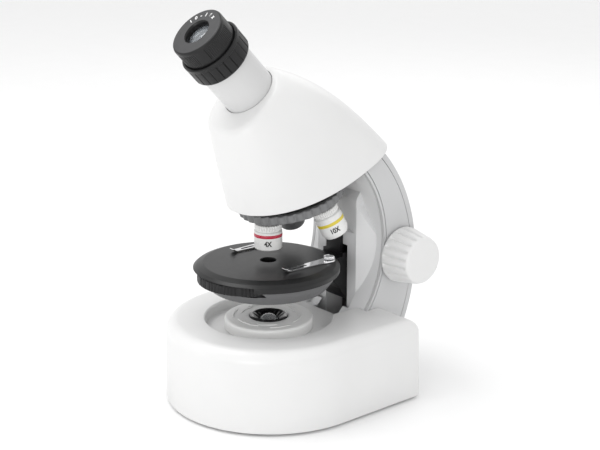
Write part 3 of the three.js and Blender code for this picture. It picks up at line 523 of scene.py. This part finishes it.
def battery_door():
    """A flat lid with a lip, a screw hole and a row of finger grooves."""
    low, half, front, rear = PLATE_LOW, DOOR_HALF - GAP, DOOR_FRONT + GAP, DOOR_REAR - GAP
    lid = upright(rounded([(-half, front, 1.2), (half, front, 1.2), (half, rear, 1.2), (-half, rear, 1.2)],
                          loop=True), low, low + 1)
    lip = block(0.5 - BAY_HALF, BAY_HALF - 0.5, BAY_FRONT + 0.5, BAY_REAR - 0.5, low + 0.9, low + 2)
    grips = [block(-12, 12, y - 0.4, y + 0.4, low - 1, low + 0.35) for y in (-22, -20, -18, -16)]
    return cut(join(lid, lip), moved(disc(1.3, low - 1, low + 3, 32), 0, DOOR_SCREW_Y), *grips)


def power_switch():
    face, half = BASE_BACK, 4.6
    rocker = sideways(rounded([(face - 5, -1.5), (face - 1.6, -half, 0.4), (face + 0.2, -half, 0.5),
                               (face - 0.6, 0, 4), (face + 1.4, half, 0.6), (face - 1.6, half, 0.4),
                               (face - 5, 1.5)], loop=True), -6.6, 6.6)
    return moved(rocker, SWITCH_X, 0, SWITCH_Z)


def base_parts():
    piece("base_plate_skin", base_plate(), WHITE, "body", "white_shell", "base_plate")
    piece("battery_door_skin", battery_door(), WHITE, "body", "white_shell", "battery_door")
    piece("base_shell_skin", base_shell(), WHITE, "body", "white_shell", "base_shell")
    piece("lamp_cap_skin", lamp_cap(), CAP_WHITE_PAINTED_LIGHT, "body", "white_shell", "lamp_cap")
    piece("lamp_bezel_ring", lamp_bezel(), GLOSS_BLACK, "body", "black_plastic", "lamp_bezel")
    piece("lamp_lens_dome", lamp_lens(), CLEAR, "body", "lens_glass", "lamp_lens")
    piece("lamp_reflector", lamp_reflector(), CHROME, "body", "chrome_clip")
    for end, x, y in (("front", 39.4, -37.4), ("rear", 52, 52)):
        for side, sign in (("left", -1), ("right", 1)):
            name = f"foot_{end}_{side}"
            piece(name + "_pad", foot(sign * x, y), RUBBER, "body", "rubber_foot", name)
    piece("power_switch_rocker", power_switch(), BLACK, "rocker", "black_plastic", "power_switch")


# ---- Head cover outline, shared with the arm ----
def head_section(s, inset):
    """A ring across the tube's axis at height s: further down it is wider, with a squarer back."""
    drop = HEAD_TOP - s

    def settle(length):
        return 1 - math.exp(-drop / length)

    width, back, front = 22.5 + 17.5 * settle(38), 18.6 + 19.6 * settle(29), 30.2 + 0.57 * drop
    edge = max(0, 3 - drop)
    off_round = 3 - math.sqrt(max(0, 9 - edge ** 2))
    ring = []
    count = 160
    for i in range(count):
        angle = 2 * math.pi * i / count
        c, d = math.cos(angle), math.sin(angle)
        power = 1.9 + 2.6 * settle(38) if d > 0 else 2.6 - 0.6 * settle(38)
        off = inset + off_round * (0.7 - 0.3 * d)
        reach = (back if d > 0 else front) - off
        ring.append(((width - off) * math.copysign(abs(c) ** (2 / power), c),
                     reach * math.copysign(abs(d) ** (2 / power), d), s))
    return ring


def tilted(obj):
    """Moved from the tube's own frame, with its axis along Z, to its place on the head."""
    tilt = Matrix.Rotation(math.radians(TUBE_TILT), 4, "X")
    return placed(obj, Matrix.Translation((0, TUBE_Y, TUBE_Z)) @ tilt)


def rim_curve(shift=0):
    return [(y, z + shift) for y, z in arc(RIM_Y, RIM_Z, RIM_RADIUS, 262, 310, 96)]


def below_rim(gap=0):
    curve = rim_curve(-gap)
    return sideways(curve + [(120, curve[-1][1]), (120, -10), (-120, -10), (-120, curve[0][1])], -80, 80)


def above_rim(depth):
    curve = rim_curve(depth)
    return sideways(curve + [(120, curve[-1][1]), (120, 300), (-120, 300), (-120, curve[0][1])], -80, 80)


HEAD_STATIONS = ([HEAD_TOP - d for d in (0, 0.05, 0.2, 0.45, 0.8, 1.2, 1.7, 2.2, 2.6, 3, 4, 6, 9)]
                 + [12 - 3 * k for k in range(30)])


def head_room(gap=0):
    """The space under the head cover's wall."""
    rings = [[(x, y, s - WALL - gap) for x, y, s in head_section(station, WALL + gap)]
             for station in HEAD_STATIONS]
    return tilted(loft(rings))


def head_cover():
    outside = tilted(loft([head_section(s, 0) for s in HEAD_STATIONS]))
    tube_hole = tilted(turned(rounded([(0, 10), (TUBE_RADIUS + GAP, 10), (TUBE_RADIUS + GAP, 23.9, 0.3),
                                       (TUBE_RADIUS + 0.7, 24.3), (TUBE_RADIUS + 0.7, 40), (0, 40)]), 128))
    return cut(outside, head_room(), below_rim(), tube_hole)


def head_base():
    """A tray over the nosepiece, with holes for the light and the pivot, and a leg on the column."""
    low, high, half = TRAY_LOW, TRAY_TOP, TRAY_HALF
    tray = join(disc(26.5, low, high, 160), block(-half, half, 15, 50, low, high))
    tray = cut(tray, moved(disc(6.5, low - 1, low + 5, 64), 0, -PORT_RADIUS), disc(2.6, low - 1, low + 5, 40))
    leg = block(-half, half, 61, 66.5, COLUMN_TOP + 0.4, 139)
    return join(placed(tray, nosepiece_axis()), leg)


def head_parts():
    piece("head_cover_skin", head_cover(), WHITE, "body", "white_shell", "head_cover")
    piece("head_base_skin", head_base(), BLACK, "body", "black_plastic", "head_base")


# ---- Arm ----
def nosepiece_axis():
    return Matrix.Translation((0, TURRET_Y, TURRET_Z)) @ Matrix.Rotation(math.radians(TURRET_TILT), 4, "X")


def nosepiece_room():
    room = turned([(0, -30), (34, -30), (36.5, -1.5), (36.5, 13), (0, 13)], 128)
    return placed(room, nosepiece_axis())


def shaft_hole():
    return moved(along_x(disc(SHAFT_RADIUS + 2.3, -60, 60, 64)), 0, FOCUS_Y, FOCUS_Z)


def arm_frame():
    """Front band, two webs and the column that guides the stage, joined into one moulding."""
    front = arc_across(FRONT_CENTRE, FRONT_RADIUS, 40, ARM_TOP, 72)
    behind = arc_across(FRONT_CENTRE, FRONT_RADIUS + 3, 40, ARM_TOP, 72)
    front_band = sideways(front + behind[::-1], -WEB_OUTER, WEB_OUTER)
    webs = [sideways(crescent(FRONT_RADIUS + 1, SEAM_RADIUS - GAP, 40, ARM_LOW + 4, ARM_TOP), x0, x1)
            for x0, x1 in ((-WEB_OUTER, -WEB_INNER), (WEB_INNER, WEB_OUTER))]
    face, rear, half, wide = COLUMN_FRONT, COLUMN_REAR, COLUMN_HALF, COLUMN_WIDE
    column = upright([(-half, face), (half, face), (wide, face + 9), (wide, rear), (-wide, rear),
                      (-wide, face + 9)], ARM_LOW, COLUMN_TOP)
    shoulder = sideways([(face - 2, COLUMN_TOP - 12), (face + 6, COLUMN_TOP + 1), (face - 2, COLUMN_TOP + 1)],
                        -40, 32)
    flares = []
    for sign in (-1, 1):
        outline = [(half, 113), (26.6, 95), (40, 95), (40, 140), (half, 140)]
        flares.append(loft([[(sign * x, y, z) for x, z in outline] for y in (face - 5, rear + 1)]))
    column = cut(column, shoulder, *flares)
    shoe = block(-wide, wide, SHOE_FRONT, SHOE_REAR, SHOE_LOW, ARM_LOW + 3)
    legs = [block(x, x + 4, SHOE_FRONT, SHOE_REAR, SHOE_LOW, 46) for x in (-wide, wide - 4)]
    body = join(front_band, *webs, column, shoe, *legs)
    relief = sideways([(face, ARM_TOP), (face, 50), (face - 7, 43), (30, 43), (30, ARM_TOP)], -half, half)
    slot = block(-10, 10, 40, rear + 2, 7.9, 86.3)
    seam = arc_across(BACK_CENTRE, SEAM_RADIUS - GAP, 2, ARM_TOP, 96)
    behind_seam = sideways(seam + [(140, ARM_TOP), (140, 2)], -60, 60)
    allowed = join(below_rim(GAP), head_room(GAP))
    mark = block(6.6, 9.4, face - 0.2, face + 0.8, 101.5, 107.5)
    return cut(common(body, allowed), relief, slot, shaft_hole(), nosepiece_room(), behind_seam,
               above_rim(4), mark)


def side_panel():
    """The panel's front edge is stepped back by a fine seam."""
    outline = crescent(FRONT_RADIUS, SEAM_RADIUS - 0.2, 38, 30, ARM_TOP)
    panel = sideways(outline, WEB_OUTER + GAP, ARM_HALF)
    seam = sideways(arc_across(FRONT_CENTRE, FRONT_RADIUS + 1.6, 34, ARM_TOP + 6, 96)
                    + arc_across(FRONT_CENTRE, FRONT_RADIUS + 2.15, 34, ARM_TOP + 6, 96)[::-1],
                    ARM_HALF - 0.9, ARM_HALF + 1)
    return cut(panel, shaft_hole(), above_rim(-GAP), seam)


def back_cover():
    outer = arc_across(BACK_CENTRE, BACK_RADIUS, 16, ARM_TOP, 128)
    inner = arc_across(BACK_CENTRE, SEAM_RADIUS + 0.15, 16, ARM_TOP, 128)
    cover = sideways(inner + outer[::-1], -ARM_HALF, ARM_HALF)
    return cut(cover, above_rim(-GAP))


def shaft_cap():
    cap = turned(rounded([(0, -2.1), (5.9, -2.1, 0.7), (6.5, -1.4, 0.3), (6.5, 0), (4, 0), (4, -1),
                          (0, -1)]), 72)
    return moved(along_x(cap), -ARM_HALF - GAP, FOCUS_Y, FOCUS_Z)


def arm_parts():
    piece("arm_frame_skin", arm_frame(), FRAME_GREY_PAINTED_LIGHT, "body", "grey_shell", "arm_frame")
    right = side_panel()
    left = mirrored(right)
    piece("side_panel_right_skin", right, GREY, "body", "grey_shell", "side_panel_right")
    piece("side_panel_left_skin", left, GREY, "body", "grey_shell", "side_panel_left")
    piece("back_cover_skin", back_cover(), GREY, "body", "grey_shell", "back_cover")
    piece("shaft_cap_skin", shaft_cap(), GREY, "body", "grey_shell", "shaft_cap_left")


def focus_knob():
    """Rows of points round the shaft, from the arm outwards, with fluted sides and a nearly flat end."""
    inner, outer, flutes = 34.5, 54.3, 18
    ribs = grooves(flutes, 0.17)
    count = flutes * 20

    def ring(radius, depth, x):
        result = []
        for i in range(count):
            angle = 2 * math.pi * i / count
            r = radius - depth * ribs(angle)
            result.append((x, FOCUS_Y + r * math.cos(angle), FOCUS_Z + r * math.sin(angle)))
        return result

    rows = [(16.9, 0, inner), (17.6, 0.0, inner + 0.3), (17.8, 0.3, inner + 0.9), (17.75, 1.2, inner + 1.8)]
    span = outer - 3.2 - (inner + 1.8)
    rows += [(17.75 - 2.6 * k / 8, 1.25, inner + 1.8 + span * k / 8) for k in range(1, 8)]
    rows += [(15.15, 1.0, outer - 3.2), (14.9, 0.4, outer - 2.4), (14.5, 0.0, outer - 1.7)]
    rows += [(11.5 + 3 * math.cos(math.radians(a)), 0, outer - 1.7 + 1.5 * math.sin(math.radians(a)))
             for a in range(15, 91, 15)]
    rows += [(6, 0, outer - 0.05), (2, 0, outer)]
    knob = loft([ring(*row) for row in rows])
    bore = moved(along_x(disc(SHAFT_RADIUS + GAP, inner - 1, inner + 12, 48)), 0, FOCUS_Y, FOCUS_Z)
    return cut(knob, bore)


# ---- Stage ----
def wedge(half_angle, z0, z1):
    """The sector in front of the optical axis where the filter wheel shows."""
    side = 60 * math.tan(math.radians(half_angle))
    return upright([(0, 0), (-side, -60), (side, -60)], z0, z1)


def stage_plate():
    top, under, low, r = STAGE_TOP, STAGE_UNDER, STAGE_FLANGE, STAGE_RADIUS
    plate = turned(rounded([(0, low), (r, low, 0.5), (r, under, 0.8), (r - 2.2, top - 1.5, 1.2),
                            (38.5, top, 3), (0, top)]), 192)
    hole = turned([(0, under - 1), (4.92, under - 1), (4.92, top - 0.35), (5.3, top + 0.05), (5.3, top + 1),
                   (0, top + 1)], 72)
    screws = [moved(disc(1.6, top - 5, top + 1, 40), x, CLIP_Y) for x in (-CLIP_X, CLIP_X)]
    return cut(moved(plate, 0, STAGE_Y), disc(BOWL_TOP_RADIUS + GAP, low - 1, under, 160),
               wedge(40.5, low - 1, under), hole, *screws)


def stage_bowl():
    low, upper, wall = BOWL_BOTTOM, STAGE_UNDER - GAP, 2
    bowl = turned(rounded([(9, low), (BOWL_RADIUS, low, 3), (BOWL_TOP_RADIUS - 1.4, low + 6, 4),
                           (BOWL_TOP_RADIUS, STAGE_FLANGE, 3), (BOWL_TOP_RADIUS, upper),
                           (BOWL_TOP_RADIUS - wall, upper), (BOWL_TOP_RADIUS - wall, STAGE_FLANGE - 2, 2),
                           (BOWL_RADIUS - wall, low + wall, 2), (9, low + wall)], loop=True), 192)
    window = wedge(42, WHEEL_BOTTOM - 1.2, upper + 1)
    post = moved(disc(3.4, low + 0.5, WHEEL_BOTTOM - GAP, 48), 0, WHEEL_Y)
    room = moved(disc(WHEEL_RADIUS + 0.8, WHEEL_BOTTOM - 0.8, WHEEL_TOP + 1, 128), 0, WHEEL_Y)
    hole = moved(disc(1.3, low - 1, WHEEL_BOTTOM + 1, 32), 0, WHEEL_Y)
    return cut(join(cut(bowl, window), post), room, disc(9, low - 1, low + 8, 64), hole)


def filter_wheel():
    """Fine ribs all round, with a wider smooth bar at each aperture."""
    fine = grooves(90, 0.2)

    def edge(angle):
        nearest = abs((angle * 18 / (2 * math.pi)) % 1 - 0.5)
        return 0 if nearest < 0.13 else fine(angle)

    low, top, r = WHEEL_BOTTOM, WHEEL_TOP, WHEEL_RADIUS
    wheel = turned([(0, low), (r - 0.5, low), (r, low + 0.4, 0.55), (r, top - 0.5, 0.55), (r - 0.5, top),
                    (r - 2.5, top), (r - 2.5, low + 1.4), (6, low + 1.4), (6, top), (0, top)], 720, edge)
    holes = []
    for i in range(6):
        angle = math.radians(90 + 60 * i)
        hole = disc(5.2 - 0.7 * i, low - 1, top + 1, 48)
        holes.append(moved(hole, APERTURE_CIRCLE * math.cos(angle), APERTURE_CIRCLE * math.sin(angle)))
    return moved(cut(wheel, disc(1.7, low - 1, top + 1, 40), *holes), 0, WHEEL_Y)


def carriage():
    """The slider in the column's slot, the gusset under the stage and the tongue behind it."""
    half, face = 9.7, COLUMN_FRONT
    rear, top, ledge = FOCUS_Y - PINION_RADIUS - RACK_DEPTH - GAP, 81.5, STAGE_FLANGE - GAP
    slider = block(-half, half, face + 2.4, rear, 50, top)
    gusset = sideways(rounded([(30, 70), (36, 68, 6), (44, 65, 8), (50, 58.5, 8), (face, 50.5), (rear, 46),
                               (rear, top), (face - 3.1, top), (face - 3.1, ledge), (30, ledge)],
                              loop=True), -half + 0.3, half - 0.3)
    tongue = sideways(rounded([(face - 3.1, 79), (face - GAP, 79), (face - GAP, 94, 0.8),
                               (face - 3.1, 94, 1.5)], loop=True), -6.2, 6.2)
    bowl_room = turned([(0, 60), (BOWL_RADIUS + GAP, 60), (BOWL_RADIUS + GAP, BOWL_BOTTOM - 1),
                        (BOWL_TOP_RADIUS - 1.1, BOWL_BOTTOM + 6), (BOWL_TOP_RADIUS + GAP, STAGE_FLANGE),
                        (BOWL_TOP_RADIUS + GAP, 90), (0, 90)], 160)
    plate_room = moved(disc(STAGE_RADIUS + GAP, STAGE_FLANGE - 0.5, 90, 160), 0, STAGE_Y)
    return cut(join(slider, gusset, tongue), bowl_room, plate_room)


def clip():
    """A flat spring leaf with a slot and an upturned tip."""
    length, z = CLIP_Y - CLIP_TIP, CLIP_Z
    outline = rounded([(-3.4, -6, 2), (-2.3, -length + 5, 2), (-2, -length), (2, -length),
                       (2.3, -length + 5, 2), (3.4, -6, 2)] + arc(0, 0, 3.8, 0, 180, 32), loop=True)
    leaf = upright(outline, z, z + 0.8)
    slot = upright(rounded([(0.9, -18, 0.85), (0.9, -28, 0.85), (-0.9, -28, 0.85), (-0.9, -18, 0.85)],
                           loop=True), z - 1, z + 2)
    tip = sideways(rounded([(-length + 0.2, z), (-length + 0.2, z + 0.8), (-length - 1.2, z + 1.2, 2),
                            (-length - 3, z + 2.4, 0.2), (-length - 3.1, z + 1.7, 0.2),
                            (-length - 1.4, z + 0.35, 2)], loop=True), -2, 2)
    return cut(join(leaf, tip), disc(1.9, z - 1, z + 2, 48), slot)


def clip_screw():
    top, z = STAGE_TOP, CLIP_Z + 0.8 + GAP
    return turned([(0, top - 4), (1.3, top - 4), (1.3, z), (2.9, z), (3.3, z + 0.3, 0.35),
                   (3.3, top + 2.9, 0.35), (2.9, top + 3.3), (2.2, top + 3.5), (1.9, top + 3.2),
                   (0, top + 3.2)], 240, grooves(24, 0.22))


def stage_parts():
    piece("stage_plate_skin", stage_plate(), CHARCOAL, "stage", "charcoal_plastic", "stage_plate")
    piece("stage_bowl_skin", stage_bowl(), BOWL_GREY, "stage", "charcoal_plastic", "stage_bowl")
    piece("stage_carriage_skin", carriage(), BLACK, "stage", "black_plastic", "stage_carriage")
    piece("filter_wheel_skin", filter_wheel(), BLACK, "wheel", "black_plastic", "filter_wheel")
    for side, sign in (("left", -1), ("right", 1)):
        leaf = moved(clip(), sign * CLIP_X, CLIP_Y)
        piece("clip_leaf_" + side, leaf, CHROME, "clip_" + side, "chrome_clip", "stage_clip_" + side)
        screw = moved(clip_screw(), sign * CLIP_X, CLIP_Y)
        piece("clip_knob_" + side, screw, CHROME, "stage", "chrome_clip", "clip_screw_" + side)


# ---- Nosepiece ----
def port_place(angle):
    """Where an objective's port is, turned by an angle from the working position."""
    return (nosepiece_axis() @ Matrix.Rotation(math.radians(angle), 4, "Z")
            @ Matrix.Translation((0, -PORT_RADIUS, 0)) @ Matrix.Rotation(math.radians(-TURRET_TILT), 4, "X"))


def turret():
    low, high, r = 3.4, 9, TURRET_RADIUS
    rim = turned([(0, low), (r - 2.4, low), (r - 1.2, low + 0.2, 0.5), (r - 0.2, low + 0.9, 1.3),
                  (r, low + 1.6, 1.4), (r, high - 0.4, 1.4), (r - 0.4, high, 1.3), (0, high)],
                 720, grooves(36, 0.24))
    hub = turned(rounded([(0, -6.4), (5.5, -6.4), (8.3, -3.8, 2), (9.5, low + 0.5), (0, low + 0.5)]), 96)

    def in_port(obj, angle):
        return placed(obj, nosepiece_axis().inverted() @ port_place(angle))

    angles = (0, 120, 240)
    seats = [in_port(turned(rounded([(0, -2.1), (8.2, -2.1, 0.5), (8.2, low + 1), (0, low + 1)]), 72), a)
             for a in angles]
    ports = [in_port(disc(5, -4, high + 4, 48), a) for a in angles]
    hollow = turned([(9.5, high - 3), (r - 3.5, high - 3), (r - 3.5, high + 1), (9.5, high + 1)], 96)
    body = cut(join(rim, hub, *seats), hollow, *ports, disc(2.6, -7, high + 1, 48), disc(4, -7.4, -3, 48))
    return placed(body, nosepiece_axis())


def objective(length, nose):
    """Knurled collar, plain barrel and a stepped nose."""
    collar, barrel = COLLAR_RADIUS, BARREL_RADIUS
    return turned([(3, -2.4), (7.7, -2.4), (collar, -2.7, 0.65), (collar, -5.6, 0.65), (7.7, -5.9),
                   (7.7, -6.2), (8.3, -6.5), (barrel, -6.9), (barrel, -length + 3.6), (8.5, -length + 3.1),
                   (nose + 0.9, -length + 0.9), (nose + 0.5, -length + 0.3), (nose - 0.2, -length),
                   (4.6, -length), (4.2, -length + 0.6), (3.7, -length + 1.6), (3.4, -length + 4)],
                  480, grooves(30, 0.22))


def colour_ring(low, high):
    """A band sunk in the barrel's wall, standing just proud of it."""
    return turned([(8.2, low), (8.66, low), (8.7, low + 0.1), (8.7, high - 0.1), (8.66, high),
                   (8.2, high)], 144)


def letters(text, size, depth):
    """Text standing on its baseline in X and Z, facing -Y, with its middle at the origin."""
    curve = bpy.data.curves.new("letters", "FONT")
    curve.body = text
    curve.size = size
    curve.extrude = depth
    curve.offset = 0.04 * size
    curve.align_x = "CENTER"
    curve.align_y = "CENTER"
    obj = bpy.data.objects.new("letters", curve)
    bpy.context.scene.collection.objects.link(obj)
    bpy.context.view_layer.update()
    mesh = bpy.data.meshes.new_from_object(obj.evaluated_get(bpy.context.evaluated_depsgraph_get()))
    bpy.data.objects.remove(obj)
    result = bpy.data.objects.new("letters", mesh)
    bpy.context.scene.collection.objects.link(result)
    return result


def wrapped(text, size, radius, z, turn):
    """Text printed round a barrel: `turn` is where its middle is, in degrees from -Y."""
    obj, narrowing = letters(text, size, 0.06), 0.85
    bm = bmesh.new()
    bm.from_mesh(obj.data)
    bmesh.ops.subdivide_edges(bm, edges=[e for e in bm.edges if e.calc_length() > 0.4], cuts=2)
    for vertex in bm.verts:
        angle = vertex.co.x * narrowing / radius + math.radians(turn - 90)
        r = radius + 0.02 + vertex.co.z
        height = vertex.co.y
        vertex.co = (r * math.cos(angle), r * math.sin(angle), z + height)
    bm.to_mesh(obj.data)
    bm.free()
    return obj


def front_lens(length):
    return turned([(0, -length + 0.8), (3.2, -length + 1.0), (3.2, -length + 2.4), (0, -length + 2.4)], 64)


def nosepiece_parts():
    piece("nosepiece_skin", turret(), TURRET_GREY, "turret", "charcoal_plastic", "nosepiece")
    makes = (("4x", 0, 17.9, 7.6, BARREL, "objective_body"), ("10x", 120, 21, 6.6, BARREL, "objective_body"),
             ("40x", 240, 24, 7.4, TURRET_GREY, "charcoal_plastic"))
    for name, angle, length, nose, material, slot in makes:
        place = port_place(angle)
        piece(f"objective_{name}_barrel", placed(objective(length, nose), place), material, "turret", slot,
              f"objective_{name}")
        piece(f"front_lens_{name}_glass", placed(front_lens(length), place), COATED, "turret", "lens_glass",
              f"front_lens_{name}")
    marks = (("4x", 0, -10, CRIMSON, "4X", 50), ("10x", 120, -12.2, YELLOW, "10X", -62))
    for name, angle, low, material, text, turn in marks:
        place = port_place(angle)
        piece(f"ring_{name}", placed(colour_ring(low, low + 2), place), material, "turret", "objective_body")
        word = wrapped(text, 4.2, BARREL_RADIUS, low - 3.4, turn)
        piece(f"mark_{name}", placed(word, place), INK, "turret", "objective_body")


# ---- Eyepiece ----
def eyepiece_tube():
    r, end = TUBE_RADIUS, TUBE_END
    return tilted(turned(rounded([(11.8, 8), (r, 8), (r, end, 0.3), (11.8, end)], loop=True), 144))


def eyepiece_barrel():
    end = TUBE_END
    return tilted(turned([(9.5, 28), (11.5, 28), (11.5, end + GAP), (15.4, end + GAP), (15.4, end + 1.9),
                          (10.6, end + 1.9), (10.6, 67.2), (9.5, 67.2)], 96))


def zoom_ring():
    start, stop, end = ZOOM_START, ZOOM_STOP, TUBE_END
    outer, bore, mouth = ZOOM_RADIUS, TUBE_RADIUS + GAP, CUP_RADIUS + GAP
    return tilted(turned([(bore, start), (outer - 1.1, start), (outer - 0.6, start + 0.2),
                          (outer - 0.15, start + 0.9, 0.4), (outer - 0.1, start + 1.4, 0.6),
                          (outer - 0.1, stop - 3.2, 0.6), (outer - 0.2, stop - 2.6, 0.3), (outer, stop - 2.3),
                          (outer, stop - 0.5), (outer - 0.5, stop), (mouth + 0.3, stop), (mouth, stop - 0.4),
                          (mouth, end + 1), (bore, end + 1)], 720, grooves(24, 0.07)))


def eyecup():
    """A cap with fine ribs in four patches on its side, and a hole in its face for the eye lens."""
    low, top, cap = CUP_LOW, CUP_TOP, CUP_RADIUS
    fine = grooves(90, 0.25)

    def patches(angle):
        sector = ((angle + math.pi / 4) * 2 / math.pi) % 1
        return fine(angle) if 0.12 < sector < 0.88 else 0

    return tilted(turned([(10.9, low), (cap - 0.2, low), (cap, low + 0.3), (cap, top - 10.6),
                          (cap, top - 10.2, 0.35), (cap, top - 2.6, 0.35), (cap, top - 2.2),
                          (cap, top - 1.3), (cap - 0.35, top - 0.5), (cap - 1.1, top - 0.05),
                          (cap - 1.6, top), (8.4, top), (7.9, top - 0.5), (7.6, top - 1.6),
                          (7.4, top - 3.5), (10.9, top - 3.5)], 720, patches))


def eye_lens():
    top = CUP_TOP
    return tilted(turned([(0, top - 5.1), (10.3, top - 5.1), (10.3, top - 3.8), (7.2, top - 3.8),
                          (5, top - 3.0), (2.5, top - 2.55), (0, top - 2.4)], 96))


def eyepiece_parts():
    piece("eyepiece_tube_skin", eyepiece_tube(), TUBE_GREY, "body", "grey_shell", "eyepiece_tube")
    piece("eyepiece_barrel_skin", eyepiece_barrel(), BLACK, "body", "black_plastic", "eyepiece_barrel")
    piece("zoom_ring_skin", zoom_ring(), SATIN_BLACK, "zoom", "eyepiece_black", "zoom_ring")
    cup = piece("eyecup_skin", eyecup(), SATIN_BLACK, "cup", "eyepiece_black", "eyecup")
    cup.data.materials.append(FACE_BLACK)
    axis = Matrix.Rotation(math.radians(TUBE_TILT), 3, "X") @ Vector((0, 0, 1))
    for polygon in cup.data.polygons:
        if polygon.normal.dot(axis) > 0.98:
            polygon.material_index = 1
    piece("eye_lens_glass", eye_lens(), COATED, "cup", "lens_glass", "eye_lens")
    for k, sign in enumerate("10-16x"):
        turn = Matrix.Rotation(math.radians(62 - 17 * k), 4, "Z")
        word = placed(letters(sign, 3.4, 0.05), turn @ Matrix.Translation((0, 12.2, CUP_TOP + 0.03)))
        piece(f"dial_mark_{k}", tilted(word), PALE_INK, "cup", "eyepiece_black")
    outer, stop = ZOOM_RADIUS, ZOOM_STOP
    pointer = block(-0.35, 0.35, outer - 0.05, outer + 0.04, stop - 2.0, stop - 0.8)
    turn = Matrix.Rotation(math.radians(160), 4, "Z")
    piece("zoom_pointer", tilted(placed(pointer, turn)), PALE_INK, "zoom", "eyepiece_black")


# ---- Plain nodes kept from the CAD model, each with a finish ----
KEPT = {
    CELL: ("battery_1", "battery_2"),
    STEEL: ("battery_contact_left", "battery_contact_right", "battery_door_screw", "arm_screw_left",
            "arm_screw_right", "wheel_screw", "nosepiece_pivot", "focus_shaft", "detent_spring"),
    BRASS: ("pinion", "shaft_bush_left", "shaft_bush_right", "rack"),
    BOARD: ("led_board",),
    CLEAR: ("led", "prism", "field_lens"),
    BLACK: ("prism_housing",),
}


def kept_nodes():
    for material, names in KEPT.items():
        for name in names:
            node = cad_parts[name]
            node.data.materials.clear()
            node.data.materials.append(material)


# ---- Floor, light and camera ----
def area_light(name, place, target, width, height, power):
    data = bpy.data.lights.new(name, "AREA")
    data.shape = "RECTANGLE"
    data.size, data.size_y = width, height
    data.energy = power
    obj = bpy.data.objects.new(name, data)
    bpy.context.scene.collection.objects.link(obj)
    obj.location = place
    obj.rotation_euler = (Vector(target) - Vector(place)).to_track_quat("-Z", "Y").to_euler()


def studio():
    """Places and sizes here and in camera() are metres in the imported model's frame."""
    half = 6
    mesh = bpy.data.meshes.new("floor")
    mesh.from_pydata([(-half, -half, 0), (half, -half, 0), (half, half, 0), (-half, half, 0)], [],
                     [(0, 1, 2, 3)])
    floor = bpy.data.objects.new("floor", mesh)
    bpy.context.scene.collection.objects.link(floor)
    mesh.materials.append(surface("floor_card", (0.93, 0.93, 0.93), 0.7, mottle=0.005, edge=0))
    world = bpy.data.worlds.new("studio")
    bpy.context.scene.world = world
    world.use_nodes = True
    world.node_tree.nodes["Background"].inputs["Color"].default_value = (1, 1, 1, 1)
    world.node_tree.nodes["Background"].inputs["Strength"].default_value = 0.93
    middle = (0, 0, 0.12)
    area_light("key", (-0.35, -0.4, 1.2), middle, 0.7, 0.7, 5)
    area_light("fill", (0.45, -0.8, 0.18), (0, 0.03, 0.08), 0.3, 0.2, 1.2)
    area_light("back", (-0.4, 0.9, 0.8), middle, 0.8, 0.5, 1.0)
    bpy.context.scene.view_settings.view_transform = "Standard"


def camera():
    data = bpy.data.cameras.new("camera")
    data.sensor_width = 36
    data.lens = 80.27
    obj = bpy.data.objects.new("camera", data)
    bpy.context.scene.collection.objects.link(obj)
    place, target = Vector((0.6039, -0.4997, 0.3399)), Vector((0.01236, -0.0021, 0.10939))
    obj.location = place
    obj.rotation_euler = (target - place).to_track_quat("-Z", "Y").to_euler()
    data.clip_start = 0.01
    bpy.context.scene.camera = obj


camera()
studio()
base_parts()
head_parts()
arm_parts()
piece("focus_knob_skin", focus_knob(), WHITE, "focus", "white_shell", "focus_knob_right")
stage_parts()
nosepiece_parts()
eyepiece_parts()
kept_nodes()
